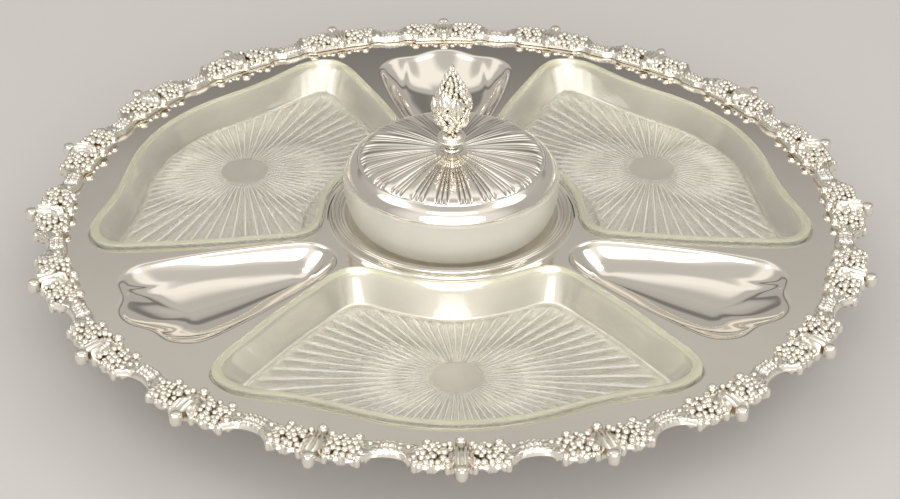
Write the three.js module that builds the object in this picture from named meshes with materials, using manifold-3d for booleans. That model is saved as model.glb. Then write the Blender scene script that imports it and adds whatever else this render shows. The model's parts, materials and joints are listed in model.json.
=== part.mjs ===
// Lazy susan: a silver plated tray with a cast grape border, turning on a low ball bearing base.
// Three wells hold glass inserts, three shell dishes are pressed between them, and a glass bowl
// with a fluted lid stands in the middle. Millimetres, +Z up, the table at Z = 0, the front at -Y.

import * as THREE from 'three';
import { mergeVertices } from 'three/addons/utils/BufferGeometryUtils.js';
import Module from 'manifold-3d';

const wasm = await Module();
wasm.setup();

// Sizes shared by many pieces
const clearance = 0.3; // between pieces that rest on each other
const sheet = 1.2; // plated sheet of the tray
const toolReach = 1; // how far a cutting tool passes the faces that it cuts
const circleSteps = { large: 36, medium: 28, small: 12, tiny: 6 }; // facets round a circle

// Bearing
const ballRadius = 3;
const ballCount = 12;
const pitchRadius = 44;
const raceThickness = 2.6;
const raceInside = 12; // race inside the balls' circle
const raceOutside = 10;
const raceSteps = ballCount * 2;
const grooveDepth = 1; // how far a ball sinks into a race
const grooveSide = 0.4; // groove beside the ball, at the race's face
const grooveFlat = 1.2; // half width of the groove's bottom
const cageThickness = 1.4;
const cageMargin = 1.6; // cage beside a ball
const cagePocketGap = 0.2;
const rivetRadius = 1.2;
const rivetHeadRadius = 2.2;
const rivetHead = 0.8;
const rivetCount = 3;
const rivetInset = 3.2; // from the races' inner edge

// Base and its foot
const footRadius = 112;
const footWidth = 6;
const footHeight = 2.4; // where the cove starts
const footEdge = 1.4; // upright outer edge of the foot
const footHollow = 0.9; // inner edge of the foot
const baseSheet = 1.5;
const baseHeight = 34.6; // top of the plate that carries the bearing
const basePlateMargin = 6; // plate outside the bearing
const baseShoulder = 10; // from the plate to the cove
const coveSteps = 4;

// Pivot
const pivotRadius = 3;
const pivotFlangeRadius = 9;
const pivotFlange = 2;
const pivotFit = 0.35; // radial play where the pivot passes through a plate
const pivotEnd = 1; // pivot below its nut
const hubPlate = 2;
const hubMargin = 1; // hub plate outside the bearing
const washerThickness = 1.2;
const washerRadius = 9;
const springWasherHeight = 1.4;
const springWasherRadius = 7.5;
const nutHeight = 4.5;
const nutRadius = 6.5;

// Glass bowl
const bowlRadius = 64;
const bowlWall = 3.4;
const bowlHeight = 31.7;
const bowlFloor = 4;
const bowlFlare = 11; // from the belly out to the rim
const bowlFootInset = 13; // from the belly in to the foot
const bowlFootWidth = 5.5;
const bowlFootHeight = 1.2;
const bowlStraight = 3.2; // upright part of the wall below the rim
const bowlRimRound = 0.6;
const bowlCurveSteps = 4;

// Tray
const trayRadius = 231; // edge of the sheet, under the border
const dishDepth = 2.1; // floor of the middle dish below the tray's flat
const dishInset = 14.4; // from the outside of the collar to the dish's floor
const dishSlope = 7; // width of the slope down to the dish's floor
const collarGap = 7.4; // outside of the collar beyond the bowl
const collarHeight = 5;
const collarRound = 1; // rounding of the collar's outer edge
const collarTopWidth = 4;
const collarFall = 1.1; // slope of the collar's top towards the bowl

// Wells of the glass inserts. Their half outlines are [out from the middle, sideways].
const wellAngles = { front: -90, right: 30, left: 150 };
const wellRim = [
  [212, 0], [205.5, 40], [191.5, 76], [182.5, 112], [172, 131], [162, 134.5], [149, 130.5],
  [109.5, 105], [72, 76], [60.5, 64.5], [59, 53], [64.5, 37.5], [75.5, 0],
];
const wellFloor = [
  [199, 0], [193, 38], [180, 66], [170, 95], [164, 108], [156.5, 112.5], [147, 107],
  [113, 86], [88, 69.5], [79.5, 62], [78, 53.5], [84.5, 37], [94.5, 0],
];
const wellToCollar = 4.1; // flat between a well and the collar
const wellToBorder = 8.5;
const wellLip = { share: 0.08, depth: 1.2 }; // where the rounded lip ends
const wellUnderside = 0.1; // share at which the wall leaves the underside of the tray's flat
const wellFoot = 0.88; // share of the way from rim to floor outline at the well's own floor
const wellSteps = 32;

// Glass inserts
const insertDepth = 12.8; // glass floor below the tray's flat
const insertFloor = 3.4;
const insertProud = 0.4; // rim above the tray's flat
const insertFit = 0.5; // play beside the glass
const insertRim = { outer: 0.27, inner: 0.43 }; // shares of the way from rim to floor outline
const insertCorner = { share: 0.94, height: 2 }; // where the wall turns into the floor
const insertSpotRadius = 14.4;
const insertSpotHeight = 0.5;
const insertSpotPlace = 148.4;

// Shell dishes
const shellAngles = [90, 210, 330];
const shellRim = [
  [214, 0], [210.5, 11], [203.2, 20.5], [201.5, 31], [193, 41], [178, 43],
  [147, 36.5], [110, 24.5], [92, 17.5], [83.5, 9], [81, 0],
];
const shellFloor = [
  [190, 0], [188.5, 8], [185.5, 14], [182, 19], [176, 22.5], [165, 23.5],
  [143, 18.5], [118, 12.5], [105, 8.5], [99.5, 4.5], [98, 0],
];
const shellToCollar = 9.6; // flat between a shell dish and the collar
const shellToBorder = 6.5;
const shellDepth = 13.5;
const shellSlope = [[0, 0], [0.2, 0.36], [0.6, 0.84], [1, 1]]; // [share of the way in, of the depth]
const shellUnderside = [[0.04, 0], [0.5, 0.72], [1, 1]];
const shellSteps = 24;

// Grape border, in repeats round the tray. Angles are degrees either side of a repeat's leaf.
const borderRepeats = 20;
const borderOverlap = 10.5; // width over the tray's sheet, at the scrolls
const borderDrop = 2.1; // below the tray's flat, outside the sheet
const borderLip = 1.6; // thickness of the inner edge
const borderWall = 4; // height of the outer wall above its foot
const scrollReach = 4; // beyond the sheet's edge
const scrollHeight = 6; // above the tray's flat
const scrollStart = 5.8;
const leafReach = 14.5; // beyond the sheet's edge
const leafInset = 3; // short of the scrolls at the inner edge
const leafHeight = 5;
const leafHalfAngle = 4.4;
const beadShoulder = { across: 0.75, up: 0.7 }; // shares of a bead's radius
const budRadius = 5;
const budOffset = 3.5; // middle of a bud beyond the leaf's end
const grapeRadius = 3.4;
const grapeInset = 6.5; // from the leaf's end
const grapeAngle = 2.6;
const grapeSeat = 1; // middle of a grape below the leaf's ridge

// Lid
const lidOverlap = 1.7; // glass rim seen outside the lid
const lidRingWidth = 8.3;
const lidRingHeight = 9.8;
const lidRing = [[0, 0], [0.1, 0.41], [0.48, 0.82], [0.95, 1]]; // [share of width, of height]
const lidDomeRise = 5;
const lidDome = [[0.98, 0.35], [0.87, 0.72], [0.6, 0.92]]; // [share of radius, of rise]
const lidWall = 1.4;
const lidUpright = 4; // inner wall that stays upright above the rim
const lidLocator = 3; // depth of the ring that drops into the bowl
const lidLocatorWall = 1.2;
const lidLocatorFit = 0.5;
const lidCrown = 7; // plain middle under the finial
const fluteRepeats = 24;
const fluteDepth = 1.2;
const fluteColumns = [[0, 1], [0.3, 0], [0.6, 1]]; // [place in the repeat, share of the depth]

// Finial
const finialCollarRadius = 6;
const finialCollarHeight = 1.4;
const finialCollarBead = [[1, 0], [1, 0.4], [0.86, 0.55], [0.8, 1]]; // [share of radius, of height]
const finialNeckRadius = 4.4;
const finialWaistRadius = 3.1; // between the knop and the bunch
const knopRadius = 8.4;
const knopHeight = 9;
const knopNeck = 1.3; // neck below the knop
const knopSteps = 5;
const bunchHeight = 43.7;
const bunchRadius = 10;
const bunchCore = [[0.12, 0.8], [0.3, 1], [0.56, 0.75], [0.84, 0.25]]; // [share of height, of radius]
const bunchRows = [ // share of the height, share of the radius, grapes
  [0.13, 0.62, 5], [0.29, 0.86, 5], [0.45, 0.72, 5], [0.61, 0.46, 3],
];
const bunchRowTurn = 36; // each row against the one below
const bunchGrapeRadius = 2.8;
const stemRadius = 1.9;
const stemFit = 0.35;
const stemEnd = 0.6; // stem below its nut
const finialNutRadius = 4.6;
const finialNutHeight = 2.6;

// Radii worked out from the middle
const raceInner = pitchRadius - raceInside;
const raceOuter = pitchRadius + raceOutside;
const rivetCircle = raceInner + rivetInset;
const basePlateRadius = raceOuter + basePlateMargin;
const baseNeckRadius = basePlateRadius + baseShoulder;
const collarRadius = bowlRadius + collarGap;
const dishRadius = collarRadius - dishInset;
const bowlBellyRadius = bowlRadius - bowlFlare;
const bowlFootRadius = bowlBellyRadius - bowlFootInset;
const borderInner = trayRadius - borderOverlap;
const scrollOuter = trayRadius + scrollReach;
const leafOuter = trayRadius + leafReach;
const lidRadius = bowlRadius - lidOverlap;
const lidInner = bowlRadius - bowlWall - lidLocatorFit - lidLocatorWall;
const lidDomeRadius = lidRadius - lidRingWidth;

// Heights worked out from the table up
const lowerRaceBottom = baseHeight + clearance;
const lowerRaceTop = lowerRaceBottom + raceThickness;
const ballHeight = lowerRaceTop - grooveDepth + ballRadius;
const upperRaceBottom = ballHeight + ballRadius - grooveDepth;
const upperRaceTop = upperRaceBottom + raceThickness;
const hubBottom = upperRaceTop + clearance;
const hubTop = hubBottom + hubPlate;
const washerTop = baseHeight - baseSheet - clearance;
const springTop = washerTop - washerThickness - clearance;
const nutTop = springTop - springWasherHeight - clearance;
const dishFloor = hubTop + clearance + sheet;
const field = dishFloor + dishDepth;
const wellDepth = insertDepth + insertFloor + clearance;
const borderBottom = field - borderDrop;
const borderSeat = field + clearance;
const bowlBottom = dishFloor + clearance;
const bowlRim = bowlBottom + bowlHeight;
const lidRim = bowlRim + clearance;
const domeEdge = lidRim + lidRingHeight;
const domeTop = domeEdge + lidDomeRise;
const lidThickness = fluteDepth + lidWall;
const nutUnderLid = domeTop - lidThickness - clearance;
const finialSeat = domeTop + clearance;
const finialBottom = finialSeat + finialCollarHeight + clearance;
const knopBottom = finialBottom + knopNeck;
const bunchBottom = knopBottom + knopHeight;

const silver = { color: 0xd8d4cc, metalness: 1, roughness: 0.12 };
const castSilver = { color: 0xd9d2c4, metalness: 1, roughness: 0.25 };
const glass = { color: 0xe6e8d4, metalness: 0, roughness: 0.05, transparent: true, opacity: 0.45 };
const steel = { color: 0xa6a8aa, metalness: 1, roughness: 0.4 };
const brass = { color: 0xb89a56, metalness: 1, roughness: 0.35 };

const radians = THREE.MathUtils.degToRad;
const lazySusan = new THREE.Group();

// Turns a closed geometry into a solid that can be joined and cut.
function solid(geometry) {
  geometry.deleteAttribute('normal');
  geometry.deleteAttribute('uv');
  const merged = mergeVertices(geometry, 1e-4);
  const corners = merged.index.array;
  const triangles = [];
  for (let i = 0; i < corners.length; i += 3) {
    const [a, b, c] = [corners[i], corners[i + 1], corners[i + 2]];
    if (a !== b && b !== c && c !== a) triangles.push(a, b, c);
  }
  return new wasm.Manifold(new wasm.Mesh({
    numProp: 3,
    vertProperties: Float32Array.from(merged.attributes.position.array),
    triVerts: Uint32Array.from(triangles),
  }));
}

function join(solids) {
  return solids.reduce((whole, piece) => whole.add(piece));
}

function cut(body, tools) {
  return tools.reduce((rest, tool) => rest.subtract(tool), body);
}

// Puts a solid into the model as a named mesh.
function place(name, body, finish) {
  const mesh = body.getMesh();
  const geometry = new THREE.BufferGeometry();
  geometry.setAttribute('position', new THREE.BufferAttribute(mesh.vertProperties, 3));
  geometry.setIndex(new THREE.BufferAttribute(mesh.triVerts, 1));
  geometry.computeVertexNormals();
  const piece = new THREE.Mesh(geometry, new THREE.MeshStandardMaterial(finish));
  piece.name = name;
  lazySusan.add(piece);
}

// A profile of [radius, height] points, turned round Z. It runs up its outer side.
function turned(profile, steps) {
  const points = profile.map(([radius, height]) => new THREE.Vector2(radius, height));
  return solid(new THREE.LatheGeometry(points, steps).rotateX(Math.PI / 2));
}

// A turned ring: the same, with the profile closed on itself.
function turnedRing(profile, steps) {
  return turned([...profile, profile[0]], steps);
}

function ring(inner, outer, bottom, top, steps) {
  return turnedRing([[inner, bottom], [outer, bottom], [outer, top], [inner, top]], steps);
}

function disc(radius, bottom, top, steps) {
  return turned([[0, bottom], [radius, bottom], [radius, top], [0, top]], steps);
}

// An upright pin between two heights, at an angle on a circle round the middle.
function pin(radius, heights, circleRadius, degrees, steps) {
  const [bottom, top] = [Math.min(...heights), Math.max(...heights)];
  const geometry = new THREE.CylinderGeometry(radius, radius, top - bottom, steps);
  geometry.rotateX(Math.PI / 2).translate(circleRadius, 0, (top + bottom) / 2);
  return solid(geometry.rotateZ(radians(degrees)));
}

function everyTurn(count, make) {
  return Array.from({ length: count }, (_, k) => make((360 / count) * k, k));
}

// Triangles between neighbouring outlines of equal length. Seen from above they run anticlockwise,
// and the faces look away from the middle where the outlines rise, and inwards where they sink.
function strip(outlines) {
  const triangles = [];
  for (let level = 0; level + 1 < outlines.length; level += 1) {
    const [from, to] = [outlines[level], outlines[level + 1]];
    from.forEach((a, i) => {
      const next = (i + 1) % from.length;
      triangles.push([a, from[next], to[next]], [a, to[next], to[i]]);
    });
  }
  return triangles;
}

// Triangles of a flat face with holes, looking up or down.
function face(outline, looksUp, holes = []) {
  const flat = (points) => points.map(([x, y]) => new THREE.Vector2(x, y));
  const corners = [...outline, ...holes.flat()];
  return THREE.ShapeUtils.triangulateShape(flat(outline), holes.map(flat)).map(([a, b, c]) => {
    const [p, q, r] = [corners[a], corners[b], corners[c]];
    const area = (q[0] - p[0]) * (r[1] - p[1]) - (r[0] - p[0]) * (q[1] - p[1]);
    return (area > 0) === looksUp ? [p, q, r] : [p, r, q];
  });
}

// Closes sets of triangles that share their corners into a solid.
function sewn(...faces) {
  const geometry = new THREE.BufferGeometry();
  geometry.setAttribute('position', new THREE.Float32BufferAttribute(faces.flat(3), 3));
  return solid(geometry);
}

// A circle that starts half a step on, so that no corner lines up with the middle of a hollow.
function circle([radius, height], steps) {
  return everyTurn(steps, (turn) => {
    const angle = radians(turn + 180 / steps);
    return [radius * Math.cos(angle), radius * Math.sin(angle), height];
  });
}

// A point's way out from the middle, stretched so that what was drawn from one radius to another
// runs between two others. Its angle stays.
function stretched([out, side], [drawnStart, drawnEnd], [start, end]) {
  const radius = Math.hypot(out, side);
  const share = (radius - drawnStart) / (drawnEnd - drawnStart);
  const scale = (start + share * (end - start)) / radius;
  return [out * scale, side * scale];
}

// A smooth closed outline through a half outline and its mirror image.
function smoothOutline(half, steps) {
  const upper = half.map(([out, side]) => new THREE.Vector3(out, side, 0));
  const lower = half.slice(1, -1).reverse().map(([out, side]) => new THREE.Vector3(out, -side, 0));
  const curve = new THREE.CatmullRomCurve3([...upper, ...lower], true, 'centripetal');
  return curve.getPoints(steps).slice(0, steps).map((point) => [point.x, point.y]);
}

// An outline part of the way from one outline to another.
function between(from, to, share) {
  return from.map(([x, y], i) => [x + (to[i][0] - x) * share, y + (to[i][1] - y) * share]);
}

// An outline moved outwards by a small distance.
function grown(outline, distance) {
  return outline.map(([x, y], i) => {
    const before = outline[(i + outline.length - 1) % outline.length];
    const after = outline[(i + 1) % outline.length];
    const [dx, dy] = [after[0] - before[0], after[1] - before[1]];
    const length = Math.hypot(dx, dy);
    return [x + (dy / length) * distance, y - (dx / length) * distance];
  });
}

function turnedTo(outline, degrees) {
  const [c, s] = [Math.cos(radians(degrees)), Math.sin(radians(degrees))];
  return outline.map(([x, y]) => [x * c - y * s, x * s + y * c]);
}

// The levels of a hollow, from its top down. Each level is [share of the way from the rim outline
// to the floor outline, depth below the tray's flat].
function levels([rim, floor], steps, degrees, growth = 0, lift = 0) {
  return steps.map(([share, depth]) => turnedTo(grown(between(rim, floor, share), growth), degrees)
    .map(([x, y]) => [x, y, field - depth + lift]));
}

// The hollows of the tray, each drawn to run from the collar to the border.
function hollow(rim, floor, toCollar, toBorder) {
  const drawn = [rim[rim.length - 1][0], rim[0][0]];
  const room = [collarRadius + toCollar, borderInner - toBorder];
  const fit = (point) => stretched(point, drawn, room);
  return { fit, rim: rim.map(fit), floor: floor.map(fit) };
}

const well = hollow(wellRim, wellFloor, wellToCollar, wellToBorder);
const shellDish = hollow(shellRim, shellFloor, shellToCollar, shellToBorder);
const wellOutlines = [smoothOutline(well.rim, wellSteps), smoothOutline(well.floor, wellSteps)];
const shellOutlines = [
  smoothOutline(shellDish.rim, shellSteps), smoothOutline(shellDish.floor, shellSteps)];

// Holes for the rivets of a race, through everything between two heights.
function rivetHoles(bottom, top) {
  return everyTurn(rivetCount, (turn) => pin(
    rivetRadius + clearance, [bottom - toolReach, top + toolReach], rivetCircle, turn, circleSteps.tiny));
}

// The base: a spun foot that rises in a cove to a flat plate under the bearing.
function baseShell() {
  const plateBottom = baseHeight - baseSheet;
  const coveFoot = footRadius - footHeight;
  const reach = coveFoot - baseNeckRadius;
  const rise = plateBottom - footHeight;
  const cove = (inset) => Array.from({ length: coveSteps }, (_, i) => {
    const turn = (Math.PI / 2) * (i / (coveSteps - 1));
    return [
      coveFoot - (reach + inset) * Math.sin(turn),
      footHeight + rise * (1 - Math.cos(turn)) - inset * Math.cos(turn),
    ];
  });
  const bore = pivotRadius + pivotFit;
  const outside = [
    [footRadius - footWidth, 0], [footRadius, 0], [footRadius, footEdge],
    ...cove(0), [basePlateRadius, baseHeight], [bore, baseHeight],
  ];
  const inside = [
    [bore, plateBottom], [basePlateRadius, plateBottom], ...cove(baseSheet).slice(1).reverse(),
    [footRadius - footWidth, footHollow],
  ];
  return cut(turnedRing([...outside, ...inside], circleSteps.medium), rivetHoles(plateBottom, baseHeight));
}

// A race: a flat steel ring with a groove for the balls and holes for its rivets. Its front, with
// the groove, faces the balls.
function race(back, front) {
  const inwards = Math.sign(back - front);
  const grooveBottom = front + inwards * (grooveDepth + clearance);
  const grooveHalfWidth = ballRadius + grooveSide;
  const groove = [
    [pitchRadius + grooveHalfWidth, front], [pitchRadius + grooveFlat, grooveBottom],
    [pitchRadius - grooveFlat, grooveBottom], [pitchRadius - grooveHalfWidth, front],
  ];
  const profile = inwards < 0
    ? [[raceInner, back], [raceOuter, back], [raceOuter, front], ...groove, [raceInner, front]]
    : [[raceInner, front], ...groove.reverse(), [raceOuter, front], [raceOuter, back], [raceInner, back]];
  return cut(turnedRing(profile, raceSteps), rivetHoles(Math.min(back, front), Math.max(back, front)));
}

function ballCage() {
  const halfWidth = ballRadius + cageMargin;
  const [bottom, top] = [ballHeight - cageThickness / 2, ballHeight + cageThickness / 2];
  const flat = ring(pitchRadius - halfWidth, pitchRadius + halfWidth, bottom, top, raceSteps);
  const pocketCorner = (ballRadius + cagePocketGap) / Math.cos(Math.PI / circleSteps.tiny);
  return cut(flat, everyTurn(ballCount, (turn) => pin(
    pocketCorner, [bottom - toolReach, top + toolReach], pitchRadius, turn, circleSteps.tiny)));
}

function ball(degrees) {
  const [around, down] = [8, 4];
  const geometry = new THREE.SphereGeometry(ballRadius, around, down).rotateX(Math.PI / 2);
  return solid(geometry.translate(pitchRadius, 0, ballHeight).rotateZ(radians(degrees)));
}

// A rivet with a flat head on the race and a shank through the race and the plate behind it.
function rivet(headFace, plateFace, degrees) {
  const away = Math.sign(headFace - plateFace);
  const headBottom = headFace + away * clearance;
  const headTop = headBottom + away * rivetHead;
  return join([
    pin(rivetHeadRadius, [headBottom, headTop], rivetCircle, degrees, circleSteps.tiny),
    pin(rivetRadius, [plateFace, headTop], rivetCircle, degrees, circleSteps.tiny),
  ]);
}

function hubPlateDisc() {
  const plate = ring(pivotRadius + pivotFit, raceOuter + hubMargin, hubBottom, hubTop, raceSteps);
  return cut(plate, rivetHoles(hubBottom, hubTop));
}

// The pivot hangs from the hub plate, passes the base plate and is held by a nut below it.
function pivotStud() {
  const bottom = nutTop - nutHeight - pivotEnd;
  const [flangeTop, top] = [hubBottom - clearance, hubTop - clearance];
  return turned([
    [0, bottom], [pivotRadius, bottom], [pivotRadius, flangeTop - pivotFlange],
    [pivotFlangeRadius, flangeTop - pivotFlange], [pivotFlangeRadius, flangeTop],
    [pivotRadius, flangeTop], [pivotRadius, top], [0, top],
  ], circleSteps.small);
}

// A dished spring washer.
function springWasher() {
  const [inner, outer] = [pivotRadius + pivotFit, springWasherRadius];
  const middle = springTop - springWasherHeight / 2;
  return turnedRing([
    [inner, middle], [outer, springTop - springWasherHeight], [outer, middle], [inner, springTop],
  ], circleSteps.small);
}

function hexagonNut(radius, hole, bottom, top) {
  const bore = disc(hole, bottom - toolReach, top + toolReach, circleSteps.small);
  return cut(disc(radius, bottom, top, circleSteps.tiny), [bore]);
}

// The tray: one pressed sheet with a raised collar round the middle dish, wells and shell dishes.
// Its upper and lower faces are made in the same way: a flat with a hole over each hollow, and the
// hollow's walls from that hole down to its floor.
function collarProfile(looksUp) {
  const top = field + collarHeight;
  const innerEdge = collarRadius - collarTopWidth;
  const slopeTop = dishRadius + dishSlope;
  if (looksUp) {
    return [
      [collarRadius, field], [collarRadius, top - collarRound], [collarRadius - collarRound, top],
      [innerEdge, top - collarFall], [slopeTop, field + collarFall], [dishRadius, dishFloor],
    ];
  }
  return [
    [collarRadius - sheet, field - sheet], [collarRadius - sheet, top - collarRound - sheet],
    [innerEdge, top - collarFall - sheet], [slopeTop + sheet, field + collarFall - sheet],
    [dishRadius, dishFloor - sheet],
  ];
}

function traySide(looksUp) {
  const [growth, lift] = looksUp ? [0, 0] : [sheet, -sheet];
  const wellTop = looksUp ? [[0, 0], [wellLip.share, wellLip.depth]] : [[wellUnderside, 0]];
  const wellSlope = [...wellTop, [wellFoot, wellDepth]];
  const shellLevels = (looksUp ? shellSlope : shellUnderside).map(([share, depth]) => [
    share, depth * shellDepth]);
  const hollows = [
    collarProfile(looksUp).map((point) => circle(point, circleSteps.large)),
    ...Object.values(wellAngles).map((turn) => levels(wellOutlines, wellSlope, turn, growth, lift)),
    ...shellAngles.map((turn) => levels(shellOutlines, shellLevels, turn, growth, lift)),
  ];
  const edge = circle([trayRadius, field + lift], circleSteps.large);
  const walls = hollows.flatMap((rows) => [
    ...strip(looksUp ? rows : [...rows].reverse()), ...face(rows[rows.length - 1], looksUp)]);
  return { edge, faces: [...face(edge, looksUp, hollows.map((rows) => rows[0])), ...walls] };
}

function tray() {
  const [upper, lower] = [traySide(true), traySide(false)];
  return sewn(upper.faces, lower.faces, strip([lower.edge, upper.edge]));
}

// A pressed glass insert: it follows its well with a little play, and has a thick rim and a plain
// round spot in the middle of its floor.
function glassInsert(degrees) {
  const outside = levels(
    wellOutlines, [[insertRim.outer, clearance - insertProud], [wellFoot, wellDepth]],
    degrees, -insertFit, clearance);
  const inside = levels(wellOutlines, [
    [insertRim.inner, -insertProud], [insertCorner.share, insertDepth - insertCorner.height],
    [1, insertDepth],
  ], degrees);
  const body = sewn(
    strip([...outside].reverse()), strip([outside[0], ...inside]),
    face(outside[outside.length - 1], false), face(inside[inside.length - 1], true));
  const floor = field - insertDepth;
  const [spotPlace] = well.fit([insertSpotPlace, 0]);
  const spot = pin(
    insertSpotRadius, [floor - toolReach, floor + insertSpotHeight], spotPlace, degrees, circleSteps.small);
  return join([body, spot]);
}

// The cast border, in repeats. Each has a leaf with a bud outside and grapes on both sides of it,
// and a plain scroll that leads to the next.
function borderRing() {
  const columns = [-scrollStart, -leafHalfAngle, leafHalfAngle, scrollStart];
  const sheetEdge = (trayRadius + clearance) / Math.cos(radians(leafHalfAngle));
  const section = (onLeaf) => {
    const outer = onLeaf ? leafOuter : scrollOuter;
    const inner = borderInner + (onLeaf ? leafInset : 0);
    const top = field + (onLeaf ? leafHeight : scrollHeight);
    return [
      [inner, borderSeat], [sheetEdge, borderSeat], [sheetEdge, borderBottom], [outer, borderBottom],
      [outer, borderBottom + borderWall], [(inner + outer) / 2, top], [inner, borderSeat + borderLip],
    ];
  };
  const sections = everyTurn(borderRepeats, (turn) => columns.map((offset) => {
    const angle = radians(90 + turn + offset);
    return section(Math.abs(offset) <= leafHalfAngle).map(([radius, height]) => [
      radius * Math.cos(angle), radius * Math.sin(angle), height]);
  })).flat();
  return sewn(strip([...sections, sections[0]].reverse()));
}

// A six-sided domed bead, such as a grape, that reaches some way below its middle.
function bead(radius, depth, circleRadius, degrees, height) {
  const profile = [
    [0, -depth], [radius, -depth], [radius * beadShoulder.across, radius * beadShoulder.up], [0, radius],
  ].map(([across, up]) => new THREE.Vector2(across, up));
  const geometry = new THREE.LatheGeometry(profile, circleSteps.tiny, Math.PI / 2).rotateX(Math.PI / 2);
  return solid(geometry.translate(circleRadius, 0, height).rotateZ(radians(degrees)));
}

function borderCasting() {
  const beads = everyTurn(borderRepeats, (turn) => [
    ...[-grapeAngle, grapeAngle].map((offset) => bead(
      grapeRadius, grapeSeat, leafOuter - grapeInset, 90 + turn + offset, field + leafHeight - grapeSeat)),
    bead(budRadius, borderWall, leafOuter + budOffset, 90 + turn, borderBottom + borderWall),
  ]).flat();
  return join([borderRing(), ...beads]);
}

// The bowl: heavy glass with an upright rim, a long curve to the belly and a foot ring.
function glassBowl() {
  const foot = bowlBottom + bowlFootHeight;
  const top = bowlRim - bowlStraight;
  const curve = (rim, bottom) => Array.from({ length: bowlCurveSteps }, (_, i) => {
    const turn = (Math.PI / 2) * (1 - i / (bowlCurveSteps - 1));
    return [rim - bowlFlare * (1 - Math.cos(turn)), top - (top - bottom) * Math.sin(turn)];
  });
  const footInner = bowlFootRadius - bowlFootWidth;
  const outside = [
    [0, foot], [footInner, foot], [footInner, bowlBottom], [bowlFootRadius, bowlBottom],
    [bowlFootRadius, foot], ...curve(bowlRadius, foot), [bowlRadius, bowlRim - bowlRimRound],
    [bowlRadius - bowlRimRound, bowlRim],
  ];
  const inner = bowlRadius - bowlWall;
  const floor = foot + bowlFloor;
  return turned([...outside, [inner, bowlRim], ...curve(inner, floor).reverse(), [0, floor]],
    circleSteps.medium);
}

// The lid: a plain rolled ring round a low dome of wide flutes with narrow reeds between them.
function lid() {
  const profile = [ // radius, height, share of the flutes' depth
    ...lidRing.map(([across, up]) => [
      lidRadius - lidRingWidth * across, lidRim + lidRingHeight * up, 0]),
    ...lidDome.map(([out, up]) => [lidDomeRadius * out, domeEdge + lidDomeRise * up, 1]),
    [lidCrown, domeTop, 0],
  ];
  const sections = everyTurn(fluteRepeats, (turn) => fluteColumns.map(([share, depth]) => {
    const angle = radians(turn + (360 / fluteRepeats) * share);
    return profile.map(([radius, height, fluted]) => [
      radius * Math.cos(angle), radius * Math.sin(angle), height - fluteDepth * fluted * depth]);
  })).flat();
  const rows = profile.map((_, i) => sections.map((section) => section[i]));
  const shell = sewn(strip(rows), face(rows[0], false), face(rows[rows.length - 1], true));
  const locatorBottom = lidRim - lidLocator;
  const locator = disc(lidInner + lidLocatorWall, locatorBottom, lidRim + toolReach, circleSteps.medium);
  const inside = turned([
    [0, locatorBottom - toolReach], [lidInner, locatorBottom - toolReach], [lidInner, lidRim + lidUpright],
    [lidDomeRadius - lidWall, domeEdge - lidWall],
    ...lidDome.slice(1).map(([out, up]) => [
      lidDomeRadius * out - lidWall, domeEdge + lidDomeRise * up - lidThickness]),
    [0, domeTop - lidThickness],
  ], circleSteps.medium);
  const stemHole = disc(stemRadius + stemFit, lidRim, domeTop + toolReach, circleSteps.small);
  return cut(join([shell, locator]), [inside, stemHole]);
}

// The finial: a threaded stem, a flattened knop and a bunch of grapes that runs to a point.
function finial() {
  const stemBottom = nutUnderLid - finialNutHeight - stemEnd;
  const knop = Array.from({ length: knopSteps }, (_, i) => {
    const turn = Math.PI * ((i + 1) / (knopSteps + 1));
    return [knopRadius * Math.sin(turn), knopBottom + (knopHeight / 2) * (1 - Math.cos(turn))];
  });
  const stalk = turned([
    [0, stemBottom], [stemRadius, stemBottom], [stemRadius, finialBottom],
    [finialNeckRadius, finialBottom], [finialWaistRadius, knopBottom], ...knop,
    [finialWaistRadius, bunchBottom],
    ...bunchCore.map(([up, out]) => [bunchRadius * out, bunchBottom + bunchHeight * up]),
    [0, bunchBottom + bunchHeight],
  ], circleSteps.small);
  const grapes = bunchRows.flatMap(([up, out, count], row) => everyTurn(count, (turn) => (
    bead(bunchGrapeRadius, bunchGrapeRadius, 0, 0, 0).rotate([0, 90, 0])
      .translate([bunchRadius * out, 0, bunchBottom + bunchHeight * up])
      .rotate([0, 0, turn + row * bunchRowTurn]))));
  return join([stalk, ...grapes]);
}

function finialCollar() {
  const bore = stemRadius + stemFit;
  return turnedRing([
    [bore, finialSeat],
    ...finialCollarBead.map(([out, up]) => [finialCollarRadius * out, finialSeat + finialCollarHeight * up]),
    [bore, finialSeat + finialCollarHeight],
  ], circleSteps.small);
}

place('base_shell', baseShell(), silver);
place('lower_race', race(lowerRaceBottom, lowerRaceTop), steel);
everyTurn(rivetCount, (turn, i) => {
  place(`lower_race_rivet_${i + 1}`, rivet(lowerRaceTop, baseHeight - baseSheet, turn), brass);
  place(`upper_race_rivet_${i + 1}`, rivet(upperRaceBottom, hubTop, turn), brass);
});
place('ball_cage', ballCage(), brass);
everyTurn(ballCount, (turn, i) => place(`ball_${String(i + 1).padStart(2, '0')}`, ball(turn), steel));
place('upper_race', race(upperRaceTop, upperRaceBottom), steel);
place('hub_plate', hubPlateDisc(), steel);
place('pivot_stud', pivotStud(), steel);
place('thrust_washer', ring(
  pivotRadius + pivotFit, washerRadius, washerTop - washerThickness, washerTop, circleSteps.small), brass);
place('spring_washer', springWasher(), steel);
place('retaining_nut', hexagonNut(nutRadius, pivotRadius + pivotFit, nutTop - nutHeight, nutTop), steel);
place('tray', tray(), silver);
place('border_casting', borderCasting(), castSilver);
Object.entries(wellAngles).forEach(([side, turn]) => place(`glass_insert_${side}`, glassInsert(turn), glass));
place('glass_bowl', glassBowl(), glass);
place('lid', lid(), silver);
place('finial_collar', finialCollar(), silver);
place('finial', finial(), castSilver);
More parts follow.
